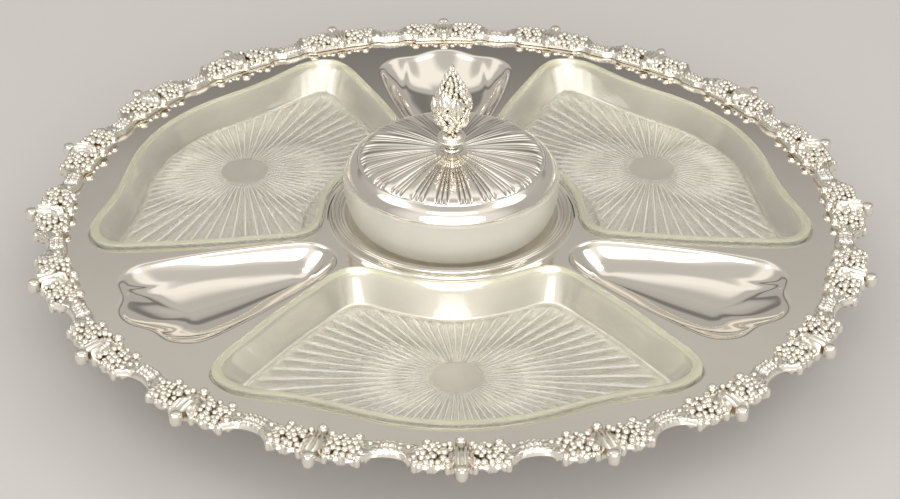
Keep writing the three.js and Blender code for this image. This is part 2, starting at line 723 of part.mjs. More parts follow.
place('finial_nut', hexagonNut(
  finialNutRadius, stemRadius + stemFit, nutUnderLid - finialNutHeight, nutUnderLid), silver);

export default lazySusan;
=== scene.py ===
"""Visual model of a silver plated lazy susan with a cast grape border.

The tray carries three pressed glass liners, three shell dishes and, in its middle, a glass bowl
under a fluted lid with a bunch of grapes for a finial. Lengths are millimetres until a mesh is made.
"""
import json
import logging
import math
from dataclasses import dataclass, field
from enum import Enum

import bmesh
import bpy
import numpy as np
from mathutils import Matrix, Vector
from mathutils.geometry import delaunay_2d_cdt


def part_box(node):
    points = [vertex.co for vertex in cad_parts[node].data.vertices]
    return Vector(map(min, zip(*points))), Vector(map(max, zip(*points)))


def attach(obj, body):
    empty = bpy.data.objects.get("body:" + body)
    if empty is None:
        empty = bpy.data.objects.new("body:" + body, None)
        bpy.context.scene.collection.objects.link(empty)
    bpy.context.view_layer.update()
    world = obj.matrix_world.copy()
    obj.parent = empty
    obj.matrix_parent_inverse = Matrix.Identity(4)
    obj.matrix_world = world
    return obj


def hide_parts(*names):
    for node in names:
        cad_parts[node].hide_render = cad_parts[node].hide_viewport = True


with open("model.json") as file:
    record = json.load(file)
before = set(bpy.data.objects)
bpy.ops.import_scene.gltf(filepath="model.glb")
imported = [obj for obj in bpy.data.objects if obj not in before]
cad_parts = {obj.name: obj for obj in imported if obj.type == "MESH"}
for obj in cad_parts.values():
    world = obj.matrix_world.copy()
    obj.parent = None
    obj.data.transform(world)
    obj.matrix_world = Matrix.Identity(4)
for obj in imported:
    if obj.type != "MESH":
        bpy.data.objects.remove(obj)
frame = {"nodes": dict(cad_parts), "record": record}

log = logging.getLogger("lazy_susan")
METRE = 1000.0  # millimetres in a metre
UP = np.array([0.0, 0.0, 1.0])
CLEARANCE = 0.3  # between pieces that rest on each other
GLASS_IOR = 1.5


class Body(Enum):
    """The bodies that the new pieces move with."""

    BASE = "base"
    TURNTABLE = "turntable"
    INSERT_FRONT = "insert_front"
    INSERT_RIGHT = "insert_right"
    INSERT_LEFT = "insert_left"
    BOWL = "bowl"
    LID = "lid"


class Slot(Enum):
    """The record's material slots."""

    PLATE = "silver_plate"
    CAST = "cast_silver"
    GLASS = "pressed_glass"
    STEEL = "bearing_steel"
    BRASS = "brass_fittings"


@dataclass
class Surface:
    """Corners in millimetres, and arrays of faces that name them."""

    points: np.ndarray
    faces: list[np.ndarray]

    @classmethod
    def grid(cls, points: np.ndarray, close_columns: bool = True, close_rows: bool = False) -> "Surface":
        """A sheet of four-sided faces over rows of points.

        Args:
            points: rows x columns x 3. Rows that go down or inwards make the faces look up or in.
            close_columns: whether the last column meets the first.
            close_rows: whether the last row meets the first.

        Returns:
            The sheet.
        """
        rows, columns = points.shape[:2]
        number = np.arange(rows * columns).reshape(rows, columns)
        if close_columns:
            number = np.concatenate([number, number[:, :1]], axis=1)
        if close_rows:
            number = np.concatenate([number, number[:1]], axis=0)
        quads = np.stack([number[:-1, :-1], number[:-1, 1:], number[1:, 1:], number[1:, :-1]], axis=-1)
        return cls(points.reshape(-1, 3), [quads.reshape(-1, 4)])

    @classmethod
    def polygon(cls, outline: np.ndarray) -> "Surface":
        """One flat face with the outline's points as its corners."""
        return cls(outline, [np.arange(len(outline))[None]])

    @classmethod
    def joined(cls, parts: list["Surface"]) -> "Surface":
        """Joins surfaces, with their corners renumbered.

        Args:
            parts: the surfaces.

        Returns:
            All of them as one surface.
        """
        starts = np.cumsum([0] + [len(part.points) for part in parts[:-1]])
        faces = [rows + start for part, start in zip(parts, starts) for rows in part.faces]
        return cls(np.concatenate([part.points for part in parts]), faces)

    def flipped(self) -> "Surface":
        """The same surface with its faces looking the other way."""
        return Surface(self.points, [rows[:, ::-1] for rows in self.faces])

    def turned(self, degrees: float) -> "Surface":
        """The surface turned about the upright axis."""
        return Surface(turned(self.points, degrees), self.faces)

    def moved(self, x: float = 0.0, y: float = 0.0, z: float = 0.0) -> "Surface":
        """The surface moved by a distance."""
        return Surface(self.points + np.array([x, y, z]), self.faces)


def turned(points: np.ndarray, degrees: float) -> np.ndarray:
    """Points turned about the upright axis: (x cos a - y sin a, x sin a + y cos a).

    Args:
        points: points x, y or x, y, z.
        degrees: the angle a.

    Returns:
        The turned points.
    """
    angle = math.radians(degrees)
    cosine, sine = math.cos(angle), math.sin(angle)
    turn = np.array([[cosine, sine, 0], [-sine, cosine, 0], [0, 0, 1]])
    return points @ turn[: points.shape[-1], : points.shape[-1]]


def lathe(profile: np.ndarray, count: int, closed: bool = False) -> Surface:
    """A profile turned round the upright axis: x = r cos a, y = r sin a, z = z.

    Args:
        profile: points of radius and height, from the lower middle out and up to the upper middle.
        count: steps round the circle.
        closed: whether the profile's end meets its start, as on a ring.

    Returns:
        The surface, looking outwards.
    """
    angle = np.linspace(0, 2 * math.pi, count, endpoint=False)
    radius, height = profile[:, :1], profile[:, 1:]
    points = np.stack([radius * np.cos(angle), radius * np.sin(angle), height + 0 * angle], axis=-1)
    return Surface.grid(points, close_rows=closed)


def rounded(corners: list[tuple[float, ...]], steps: int = 5, closed: bool = False) -> np.ndarray:
    """A polyline whose corners are rounded by quadratic arcs.

    Each corner is (x, y) or (x, y, reach). The arc leaves the line at the reach before the corner
    and comes back to it at the same reach after: (1-t)^2 a + 2t(1-t) corner + t^2 b.

    Args:
        corners: the polyline's corners.
        steps: points on each arc.
        closed: whether the last corner joins the first.

    Returns:
        Points x, y.
    """
    spots = np.array([corner[:2] for corner in corners], float)
    line = []
    share = np.linspace(0, 1, steps)[:, None]
    for number, corner in enumerate(corners):
        reach = corner[2] if len(corner) > 2 else 0.0
        inner = closed or 0 < number < len(corners) - 1
        if not (reach and inner):
            line.append(spots[number][None])
            continue
        before, after = spots[number - 1], spots[(number + 1) % len(corners)]
        start, end = (
            spots[number] + (far - spots[number]) * min(0.5, reach / np.linalg.norm(far - spots[number]))
            for far in (before, after)
        )
        line.append((1 - share) ** 2 * start + 2 * share * (1 - share) * spots[number] + share**2 * end)
    return np.concatenate(line)


def mirrored(half: list[tuple[float, float]]) -> np.ndarray:
    """A closed outline from its half and the half's mirror image across the first axis."""
    upper = np.array(half, float)
    return np.concatenate([upper, upper[-2:0:-1] * [1, -1]])


class SmoothLoop:
    """A smooth closed curve through given points: the periodic cubic spline over their chords."""

    fine_steps: int = 40  # between two points, where lengths are measured

    def __init__(self, points: np.ndarray) -> None:
        """Solves the spline's second derivatives, which make slope and curvature run on.

        Args:
            points: the loop's points, x and y.
        """
        self.points = points
        self.chord = np.linalg.norm(np.roll(points, -1, axis=0) - points, axis=1)
        count = len(points)
        before = np.roll(self.chord, 1)
        slope = (np.roll(points, -1, axis=0) - points) / self.chord[:, None]
        here = np.arange(count)
        system = np.zeros((count, count))
        system[here, here] = 2 * (before + self.chord)
        system[here, here - 1] += before
        system[here, (here + 1) % count] += self.chord
        self.bend = np.linalg.solve(system, 6 * (slope - np.roll(slope, 1, axis=0)))

    def at(self, place: np.ndarray) -> np.ndarray:
        """Points on the loop: the straight line between two given points and the spline's bow over it.

        Args:
            place: places, where 2.5 is halfway between points 2 and 3.

        Returns:
            Points x, y.
        """
        first = np.floor(place).astype(int) % len(self.points)
        second = (first + 1) % len(self.points)
        share = (place - np.floor(place))[:, None]
        chord = self.chord[first][:, None]
        rest = 1 - share
        straight = rest * self.points[first] + share * self.points[second]
        bow = (rest**3 - rest) * self.bend[first] + (share**3 - share) * self.bend[second]
        return straight + bow * chord**2 / 6

    def even_places(self, count: int) -> np.ndarray:
        """Places that cut the loop into equal lengths.

        Args:
            count: how many.

        Returns:
            The places.
        """
        fine = np.linspace(0, len(self.points), self.fine_steps * len(self.points) + 1)
        spots = self.at(fine)
        length = np.concatenate([[0], np.cumsum(np.linalg.norm(np.diff(spots, axis=0), axis=1))])
        return np.interp(np.linspace(0, length[-1], count, endpoint=False), length, fine)


def outward(outline: np.ndarray) -> np.ndarray:
    """Unit normals of a closed outline: the line between a point's neighbours, turned right.

    Args:
        outline: the outline's points, anticlockwise.

    Returns:
        A normal for each point, pointing out.
    """
    along = np.roll(outline, -1, axis=0) - np.roll(outline, 1, axis=0)
    normal = np.stack([along[:, 1], -along[:, 0]], axis=1)
    return normal / np.linalg.norm(normal, axis=1, keepdims=True)


def smooth_step(value: np.ndarray) -> np.ndarray:
    """0 below 0, 1 above 1, and 3v^2 - 2v^3 between."""
    value = np.clip(value, 0, 1)
    return value * value * (3 - 2 * value)


def raised(points: np.ndarray, height: np.ndarray | float) -> np.ndarray:
    """Flat points given a height each, or all the same one."""
    return np.concatenate([points, np.broadcast_to(height, points.shape[:-1])[..., None]], axis=-1)


def make_piece(
    name: str,
    surface: Surface,
    material: bpy.types.Material,
    body: Body,
    replaces: tuple[str, ...] = (),
    thickness: float = 0.0,
    sharp: float = 50.0,
    marks: dict[str, np.ndarray] | None = None,
) -> bpy.types.Object:
    """Makes a mesh object of the model and ties it to the frame.

    Args:
        name: the piece's name.
        surface: its shape.
        material: its finish.
        body: the body that it moves with.
        replaces: frame nodes that it stands for.
        thickness: wall given to an open sheet, below its faces. 0 leaves a closed surface as it is.
        sharp: angle in degrees from which an edge isn't smoothed.
        marks: numbers at the surface's corners that its finish reads, by name.

    Returns:
        The object.
    """
    mesh = bpy.data.meshes.new(name)
    loops = np.concatenate([rows.ravel() for rows in surface.faces])
    sizes = np.concatenate([np.full(len(rows), rows.shape[1]) for rows in surface.faces])
    mesh.vertices.add(len(surface.points))
    mesh.vertices.foreach_set("co", (surface.points / METRE).astype(np.float32).ravel())
    mesh.loops.add(len(loops))
    mesh.loops.foreach_set("vertex_index", loops.astype(np.int32))
    mesh.polygons.add(len(sizes))
    mesh.polygons.foreach_set("loop_start", (np.cumsum(sizes) - sizes).astype(np.int32))
    mesh.update(calc_edges=True)
    for mark, values in (marks or {}).items():
        mesh.attributes.new(mark, "FLOAT", "POINT").data.foreach_set("value", values.astype(np.float32))
    tidy = bmesh.new()
    tidy.from_mesh(mesh)
    bmesh.ops.remove_doubles(tidy, verts=tidy.verts, dist=1e-6)
    if not thickness:
        bmesh.ops.recalc_face_normals(tidy, faces=tidy.faces)
    tidy.to_mesh(mesh)
    tidy.free()
    mesh.polygons.foreach_set("use_smooth", np.ones(len(mesh.polygons), bool))
    mesh.set_sharp_from_angle(angle=math.radians(sharp))
    mesh.materials.append(material)
    piece = bpy.data.objects.new(name, mesh)
    bpy.context.scene.collection.objects.link(piece)
    if thickness:
        wall = piece.modifiers.new("wall", "SOLIDIFY")
        wall.thickness = thickness / METRE
        wall.offset = -1
        wall.use_even_offset = True
    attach(piece, body.value)
    if replaces:
        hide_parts(*replaces)
    log.info("%s: %d faces on %s", name, len(mesh.polygons), body.value)
    return piece


class NodeSheet:
    """A material's node tree, with short calls to add and link nodes."""

    def __init__(self, name: str) -> None:
        """Starts a material with a principled shader on its output.

        Args:
            name: the material's name.
        """
        self.material = bpy.data.materials.new(name)
        self.material.use_nodes = True
        self.nodes = self.material.node_tree.nodes
        self.links = self.material.node_tree.links
        self.shader = self.nodes["Principled BSDF"]
        self.output = self.nodes["Material Output"]
        self.place = self.add("ShaderNodeTexCoord").outputs["Object"]

    def add(self, kind: str, **settings: object) -> bpy.types.Node:
        """Adds a node.

        Args:
            kind: the node's type.
            settings: values of its properties, or of its inputs where a name starts with a capital.

        Returns:
            The node.
        """
        node = self.nodes.new(kind)
        for name, value in settings.items():
            if name[0].isupper():
                node.inputs[name.replace("_", " ")].default_value = value
            else:
                setattr(node, name, value)
        return node

    def link(self, source: bpy.types.NodeSocket, target: bpy.types.NodeSocket) -> None:
        """Links an output to an input."""
        self.links.new(source, target)

    def noise(self, scale: float, detail: float = 3.0) -> bpy.types.NodeSocket:
        """Noise over the object's own coordinates.

        Args:
            scale: its waves per metre.
            detail: how many finer layers it has.

        Returns:
            Its level, from 0 to 1.
        """
        node = self.add("ShaderNodeTexNoise", Scale=scale, Detail=detail)
        self.link(self.place, node.inputs["Vector"])
        return node.outputs["Fac"]

    def ramp(
        self, source: bpy.types.NodeSocket, stops: list[tuple[float, tuple[float, ...]]]
    ) -> bpy.types.NodeSocket:
        """A colour ramp.

        Args:
            source: the value that it reads.
            stops: places on it and their colours.

        Returns:
            The colour.
        """
        node = self.add("ShaderNodeValToRGB")
        elements = node.color_ramp.elements
        while len(elements) < len(stops):
            elements.new(0.5)
        for element, (place, colour) in zip(elements, stops):
            element.position = place
            element.color = (*colour, 1.0)
        self.link(source, node.inputs["Fac"])
        return node.outputs["Color"]

    def grown(
        self, source: bpy.types.NodeSocket, factor: float, base: bpy.types.NodeSocket | float
    ) -> bpy.types.NodeSocket:
        """A value times a factor, added to a base.

        Args:
            source: the value.
            factor: the factor.
            base: a number or another output.

        Returns:
            The sum.
        """
        node = self.add("ShaderNodeMath", operation="MULTIPLY_ADD")
        self.link(source, node.inputs[0])
        node.inputs[1].default_value = factor
        if isinstance(base, float):
            node.inputs[2].default_value = base
        else:
            self.link(base, node.inputs[2])
        return node.outputs["Value"]

    def span(self, source: bpy.types.NodeSocket, low: float, high: float) -> bpy.types.NodeSocket:
        """A value from 0 to 1 brought between two bounds.

        Args:
            source: the value.
            low: what 0 becomes.
            high: what 1 becomes.

        Returns:
            The new value.
        """
        node = self.add("ShaderNodeMapRange", To_Min=low, To_Max=high)
        self.link(source, node.inputs["Value"])
        return node.outputs["Result"]

    def bump(self, height: bpy.types.NodeSocket, distance: float) -> None:
        """Gives the shader a bump.

        Args:
            height: the bump's pattern, from 0 to 1.
            distance: what 1 stands for, in millimetres.
        """
        node = self.add("ShaderNodeBump", Strength=1.0, Distance=distance / METRE)
        self.link(height, node.inputs["Height"])
        self.link(node.outputs["Normal"], self.shader.inputs["Normal"])


@dataclass(frozen=True)
class MetalFinish:
    """A polished or cast metal: its colour, how it wears and how wavy it is."""

    name: str
    bright: tuple[float, float, float]
    dull: tuple[float, float, float]
    smooth: float
    rough: float
    wear_scale: float  # patches per metre
    wave: float  # depth of the sheet's waviness, in millimetres
    wave_scale: float
    crease_shade: tuple[float, float, float] = (0.33, 0.3, 0.26)  # painted shade where a piece is marked as creased
    fresh: float = 0.35  # level of the noise up to which the metal is bright
    worn: float = 0.75  # and from which it is dull

    def make(self) -> bpy.types.Material:
        """Makes the metal: dull patches are darker and rougher, and creases are darkened by painted shade.

        Returns:
            The material.
        """
        sheet = NodeSheet(self.name)
        patches = sheet.noise(self.wear_scale, 5.0)
        tone = sheet.ramp(patches, [(self.fresh, self.bright), (self.worn, self.dull)])
        # painted shade: the creases' mark darkens the colour there
        crease_shade = sheet.add("ShaderNodeAttribute", attribute_name="crease_shade").outputs["Fac"]
        shade = sheet.add("ShaderNodeMixRGB", blend_type="MULTIPLY", Fac=1.0)
        sheet.link(tone, shade.inputs["Color1"])
        sheet.link(sheet.ramp(crease_shade, [(0.0, (1.0, 1.0, 1.0)), (1.0, self.crease_shade)]), shade.inputs["Color2"])
        sheet.link(shade.outputs["Color"], sheet.shader.inputs["Base Color"])
        sheet.link(sheet.span(patches, self.smooth, self.rough), sheet.shader.inputs["Roughness"])
        sheet.shader.inputs["Metallic"].default_value = 1.0
        if self.wave:
            sheet.bump(sheet.noise(self.wave_scale, 2.0), self.wave)
        return sheet.material


@dataclass(frozen=True)
class CastFinish:
    """Cast plate, bright on its heights and darkened in its hollows, by patina and by painted shade."""

    name: str = "cast_silver_plate"
    bright: tuple[float, float, float] = (0.92, 0.88, 0.8)
    patina_and_shade: tuple[float, float, float] = (0.52, 0.45, 0.35)
    smooth: float = 0.1
    rough: float = 0.26
    reach: float = 2.6  # how far a hollow's walls darken it, in millimetres
    deep: float = 0.3  # openness up to which a hollow is fully darkened, with patina and painted shade
    clear: float = 0.72  # and from which the metal is bright
    wear_scale: float = 180.0
    grain: float = 0.1  # depth of the casting's skin, in millimetres
    grain_scale: float = 420.0

    def make(self) -> bpy.types.Material:
        """Makes the metal: its colour follows how deep between its neighbours the surface lies, darker there
        as patina and as painted shade.

        Returns:
            The material.
        """
        sheet = NodeSheet(self.name)
        # patina and painted shade: the occlusion node darkens the metal where its neighbours hem it in
        hollow = sheet.add(
            "ShaderNodeAmbientOcclusion", samples=6, only_local=True, Distance=self.reach / METRE)
        tone = sheet.ramp(hollow.outputs["AO"], [(self.deep, self.patina_and_shade), (self.clear, self.bright)])
        sheet.link(tone, sheet.shader.inputs["Base Color"])
        sheet.shader.inputs["Metallic"].default_value = 1.0
        wear = sheet.noise(self.wear_scale)
        sheet.link(sheet.span(wear, self.smooth, self.rough), sheet.shader.inputs["Roughness"])
        sheet.bump(sheet.noise(self.grain_scale, 4.0), self.grain)
        return sheet.material


@dataclass(frozen=True)
class GlassFinish:
    """Pressed glass, clear or frosted, with a faint cast."""

    name: str = "pressed_glass"
    colour: tuple[float, float, float] = (0.99, 0.995, 0.965)
    roughness: float = 0.015
    ripple: float = 0.05  # depth of the surface's waves, in millimetres
    ripple_scale: float = 70.0
    straight: float = 0.34  # share of the light that passes without bending
    straight_colour: tuple[float, float, float] = (0.99, 0.99, 0.98)
    painted_light: float = 0.01  # share of painted light: a whitish diffuse that brightens the glass
    painted_light_colour: tuple[float, float, float] = (0.95, 0.94, 0.88)
    ray_painted_light: float = 0.55  # more painted light along a cut line of the rays, as painted highlights
    rim_painted_light: float = 0.3  # and along the rim, as painted light gathered in the thick edge
    # the glass's own yellow-green in its thick edge, given to the painted light at the rim
    rim_light_colour: tuple[float, float, float] = (0.86, 0.87, 0.62)

    def make(self) -> bpy.types.Material:
        """Makes the glass: refraction mixed with plain see-through and a little painted light, a whitish
        diffuse share.

        The painted light grows with a piece's marks "ray" and "rim", where it has them: painted highlights
        along the rays and painted light gathered in the rim.

        Returns:
            The material.
        """
        sheet = NodeSheet(self.name)
        sheet.shader.inputs["Base Color"].default_value = (*self.colour, 1.0)
        sheet.shader.inputs["Roughness"].default_value = self.roughness
        sheet.shader.inputs["Transmission Weight"].default_value = 1.0
        sheet.shader.inputs["IOR"].default_value = GLASS_IOR
        rim = sheet.add("ShaderNodeAttribute", attribute_name="rim").outputs["Fac"]
        ray = sheet.add("ShaderNodeAttribute", attribute_name="ray").outputs["Fac"]
        share = sheet.grown(ray, self.ray_painted_light, sheet.grown(rim, self.rim_painted_light, self.painted_light))
        clear = sheet.add("ShaderNodeBsdfTransparent", Color=(*self.straight_colour, 1.0))
        # painted light: a diffuse share that lightens the glass
        painted_light_shader = sheet.add("ShaderNodeBsdfDiffuse")
        sheet.link(sheet.ramp(rim, [(0.0, self.painted_light_colour), (1.0, self.rim_light_colour)]), painted_light_shader.inputs["Color"])
        straight = sheet.add("ShaderNodeMixShader", Fac=self.straight)
        sheet.link(sheet.shader.outputs["BSDF"], straight.inputs[1])
        sheet.link(clear.outputs["BSDF"], straight.inputs[2])
        glass = sheet.add("ShaderNodeMixShader")
        sheet.link(share, glass.inputs["Fac"])
        sheet.link(straight.outputs["Shader"], glass.inputs[1])
        sheet.link(painted_light_shader.outputs["BSDF"], glass.inputs[2])
        sheet.link(glass.outputs["Shader"], sheet.output.inputs["Surface"])
        sheet.bump(sheet.noise(self.ripple_scale, 2.0), self.ripple)
        return sheet.material


class Finishes:
    """Every finish of the object, made once."""

    def __init__(self) -> None:
        """Makes the materials."""
        self.plate = MetalFinish(
            "polished_silver_plate", bright=(0.93, 0.89, 0.825), dull=(0.88, 0.84, 0.775),
            smooth=0.02, rough=0.07, wear_scale=16.0, wave=0.03, wave_scale=14.0).make()
        self.cast = CastFinish().make()
        self.glass = GlassFinish().make()
        # painted light: a whitish haze, stronger over the pressed floor, stands in for the reflections that
        # brighten the clear bowl
        self.bowl_glass = GlassFinish(
            "bowl_glass", straight=0.8, painted_light=0.26, painted_light_colour=(0.99, 0.97, 0.9), ray_painted_light=0.6).make()
        self.frosted_glass = GlassFinish(
            "frosted_glass", colour=(0.95, 0.94, 0.92), roughness=0.3,
            straight_colour=(0.91, 0.9, 0.89)).make()
        self.steel = MetalFinish(
            "plain_steel", bright=(0.6, 0.6, 0.61), dull=(0.42, 0.42, 0.43),
            smooth=0.25, rough=0.5, wear_scale=90.0, wave=0.02, wave_scale=300.0).make()
        self.brass = MetalFinish(
            "plain_brass", bright=(0.72, 0.58, 0.3), dull=(0.5, 0.38, 0.18),
            smooth=0.22, rough=0.5, wear_scale=80.0, wave=0.02, wave_scale=300.0).make()


# Half outlines in the wells' and dishes' own frame: x runs from the tray's middle to its edge
WELL_RIM = [
    (212, 0), (210, 21), (205.5, 40), (198.5, 58), (191.5, 76), (186.2, 95), (182.5, 112), (178, 123),
    (170.5, 131), (162, 134.5), (152, 132.5), (133, 121), (111, 106), (88.5, 89), (72, 76), (63, 68),
    (58.5, 58), (59.5, 49), (64, 38), (71.5, 21), (75.5, 0),
]
WELL_FLOOR = [
    (198, 0), (196.5, 20), (192, 37), (185.5, 53), (178.5, 69), (172.5, 84), (168.5, 98), (165.5, 106),
    (161, 111), (155, 113), (147, 110), (131, 99.5), (113, 88), (96, 75), (85.5, 66.5), (80.5, 61),
    (77.5, 54), (78.5, 47), (83, 37), (90.5, 20), (94, 0),
]
SHELL_RIM = [
    (214, 0), (212.8, 7), (209.5, 13), (206, 18), (204, 22.5), (203, 28), (200.5, 34.5), (195, 40),
    (187, 43.5), (177, 43), (160, 39.5), (143, 35), (125, 29.5), (108, 24), (95, 19), (87, 14),
    (82.5, 7.5), (81, 0),
]
SHELL_FLOOR = [
    (193, 0), (191.8, 4.5), (189.5, 9), (187.2, 12.5), (185.8, 15), (184.8, 17.5), (183, 20.5), (180, 23.5),
    (175, 25), (168, 25), (154, 24), (139, 21), (125, 17), (112, 13.5), (103, 10.5), (98, 7.5),
    (95.5, 4), (94.5, 0),
]


@dataclass
class Well:
    """The outlines that a well of the tray and the liner in it share: one at the rim, one at the floor."""

    span: float = 16.5  # width of the slope between the two outlines, for insets in millimetres
    rim: SmoothLoop = field(default_factory=lambda: SmoothLoop(mirrored(WELL_RIM)))
    floor: SmoothLoop = field(default_factory=lambda: SmoothLoop(mirrored(WELL_FLOOR)))

    def outline(self, places: np.ndarray, inset: float) -> np.ndarray:
        """The well's outline at an inset from its rim: the two outlines mixed by inset over span."""
        share = inset / self.span
        return self.rim.at(places) * (1 - share) + self.floor.at(places) * share

    def levels(self, places: np.ndarray, profile: np.ndarray, top: float) -> np.ndarray:
        """Rows of points down the well. Each profile point is an inset and a depth below the top."""
        return np.stack([raised(self.outline(places, inset), top - depth) for inset, depth in profile])


@dataclass
class ServingTray:
    """The pressed tray: a flat field with a collar, three wells and three shell dishes."""

    finishes: Finishes
    field_height: float = 50.0
    sheet: float = 1.2
    edge_radius: float = 231.0
    edge_strip: float = 2.0  # width of the strip along the field's edge
    collar_radius: float = 71.4
    collar_height: float = 5.0
    collar_rings: int = 4
    ring_width: float = 2.15
    ring_drop: float = 0.28  # of the second ring below the first. The others fall faster
    dish_radius: float = 57.0
    well_depth: float = 16.5
    well_floor_inset: float = 17.0  # inset at which a well's flat floor starts
    shell_depth: float = 13.0
    shell_middle: tuple[float, float] = (104.0, 172.0)  # radii of the ends of a shell dish's deepest line
    shell_wall_rows: int = 18
    shell_floor_rows: int = 12
    ridge_height: float = 2.0  # of the ridges between a shell dish's lobes
    ridge_width: float = 2.4
    ridge_root: tuple[float, float] = (203.0, 27.5)  # radius and distance aside where a ridge starts
    ridge_slant: float = 0.03
    ridge_fade: tuple[float, float] = (162.0, 200.0)  # radii between which a ridge rises
    guard: float = 1.2  # flat strip kept round each hollow, so that the field stays flat
    well_angles: tuple[float, ...] = (-90.0, 30.0, 150.0)
    shell_angles: tuple[float, ...] = (90.0, 210.0, 330.0)
    well_steps: int = 240
    shell_steps: int = 240
    round_steps: int = 192

    def collar(self) -> Surface:
        """The raised collar and the middle dish, turned from one profile.

        Returns:
            Both as one surface, which starts at the field.
        """
        radius, top = self.collar_radius, self.field_height + self.collar_height
        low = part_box("glass_bowl")[0].z * METRE - CLEARANCE
        corners = [(radius + 2.6, self.field_height), (radius + 1.4, self.field_height, 1.0),
                   (radius, self.field_height + 1.0, 1.0)]
        for ring in range(self.collar_rings):
            outer, height = radius - ring * self.ring_width, top - self.ring_drop * ring**1.7
            corners += [(outer, height, 0.9), (outer - self.ring_width + 0.45, height, 0.9),
                        (outer - self.ring_width + 0.25, height - 1.1, 0.3)]
        dish = self.dish_radius
        corners += [(dish + 4.4, self.field_height - 1.2, 2.0), (dish + 1.6, low + 0.2, 1.4),
                    (dish, low, 1.0), (40.0, low), (0.0, low)]
        return lathe(rounded(corners, 3), self.round_steps)

    def well(self, angle: float) -> tuple[Surface, np.ndarray]:
        """One well. Its profile has a flat guard, a rounded lip, a slope and a flat floor.

        Args:
            angle: its direction from the tray's middle, in degrees.

        Returns:
            The well, and the outline of the hole that it needs in the field.
        """
        shape = Well()
        places = shape.rim.even_places(self.well_steps)
        profile = rounded([
            (-self.guard, 0.0), (0.0, 0.0), (1.7, 0.0, 1.6), (3.4, 2.6, 2.4),
            (13.6, self.well_depth, 2.6), (self.well_floor_inset, self.well_depth),
        ], 6)
        rows = turned(shape.levels(places, profile, self.field_height), angle)
        return Surface.joined([Surface.grid(rows), Surface.polygon(rows[-1])]), rows[0]

    def shell(self, angle: float) -> tuple[Surface, np.ndarray]:
        """One shell dish: a smooth bowl between its rim and its middle line.

        The depth at share s from the rim to the middle is depth * (1 - (1 - s)^2.1), eased in at the
        rim. Two ridges run in from the notches between the lobes: a bell curve across, fading out along.

        Args:
            angle: the dish's direction from the tray's middle, in degrees.

        Returns:
            The dish, and the outline of the hole that it needs in the field.
        """
        rim, floor = SmoothLoop(mirrored(SHELL_RIM)), SmoothLoop(mirrored(SHELL_FLOOR))
        places = rim.even_places(self.shell_steps)
        outer, inner = rim.at(places), floor.at(places)
        middle = np.stack([np.clip(inner[:, 0], *self.shell_middle), inner[:, 1] * 0.1], axis=1)
        wall = np.linspace(0, 1, self.shell_wall_rows)[:, None, None]
        inwards = np.linspace(0, 1, self.shell_floor_rows)[1:, None, None]
        flat = np.concatenate([outer + wall * (inner - outer), inner + inwards * (middle - inner)])
        share = np.concatenate([0.5 * wall, 0.5 + 0.5 * inwards])[..., 0]
        along, aside = flat[..., 0], np.abs(flat[..., 1])
        depth = self.shell_depth * (1 - (1 - share) ** 2.1) * smooth_step(share / 0.1) ** 0.35 + 0 * along
        line = self.ridge_root[1] + self.ridge_slant * (self.ridge_root[0] - along)
        start, end = self.ridge_fade
        rise = smooth_step((along - start) / (end - start))
        ridge = np.exp(-(((aside - line) / self.ridge_width) ** 2)) * rise
        depth = depth - self.ridge_height * ridge * (depth / self.shell_depth) ** 0.8
        guards = raised(outer + outward(outer) * self.guard, self.field_height)
        rows = turned(np.concatenate([guards[None], raised(flat, self.field_height - depth)]), angle)
        return Surface.joined([Surface.grid(rows), Surface.polygon(rows[-1])]), rows[0]

    def flat(self, holes: list[np.ndarray]) -> Surface:
        """The field: triangles between the tray's edge and the holes, with a narrow strip at the edge.

        Args:
            holes: each hole's outline, anticlockwise.

        Returns:
            The field, looking up.
        """
        angle = np.linspace(0, 2 * math.pi, self.round_steps, endpoint=False)
        edge = self.edge_radius * np.stack([np.cos(angle), np.sin(angle)], axis=1)
        loops = [edge, edge * (1 - self.edge_strip / self.edge_radius)] + [hole[:, :2] for hole in holes]
        starts = np.cumsum([0] + [len(loop) for loop in loops])
        edges = [
            (int(start + step), int(start + (step + 1) % (end - start)))
            for start, end in zip(starts, starts[1:]) for step in range(end - start)]
        points = np.concatenate(loops)
        made = delaunay_2d_cdt([Vector(point) for point in points], edges, [], 0, 1e-4)
        corners = np.array([tuple(corner) for corner in made[0]])
        triangles = np.array(made[2])
        middle = corners[triangles].mean(axis=1)
        keep = ~np.any([inside(middle, loop) for loop in loops[2:]], axis=0) & inside(middle, edge)
        return Surface(raised(corners, self.field_height), [triangles[keep]])

    def make(self) -> None:
        """Makes the tray as one sheet with a wall below its face."""
        hollows = [self.well(angle) for angle in self.well_angles]
        hollows += [self.shell(angle) for angle in self.shell_angles]
        collar = self.collar()
        parts = [collar] + [surface for surface, _ in hollows]
        holes = [collar.points[: self.round_steps]] + [hole for _, hole in hollows]
        tray = Surface.joined([self.flat(holes), *parts])
        make_piece("plated_tray", tray, self.finishes.plate, Body.TURNTABLE, ("tray",),
                   self.sheet, 60)


def inside(points: np.ndarray, loop: np.ndarray) -> np.ndarray:
    """Which points lie in a closed loop, by counting the edges that a ray to the right crosses.

    Args:
        points: the points.
        loop: the loop's points.

    Returns:
        True for each point inside.
    """
    ends = np.roll(loop, -1, axis=0)
    x, y = points[:, :1], points[:, 1:2]
    spans = (loop[:, 1] > y) != (ends[:, 1] > y)
    rise = np.where(ends[:, 1] == loop[:, 1], 1e-12, ends[:, 1] - loop[:, 1])
    crossing = (ends[:, 0] - loop[:, 0]) * (y - loop[:, 1]) / rise + loop[:, 0]
    return (np.sum(spans & (x < crossing), axis=1) % 2).astype(bool)


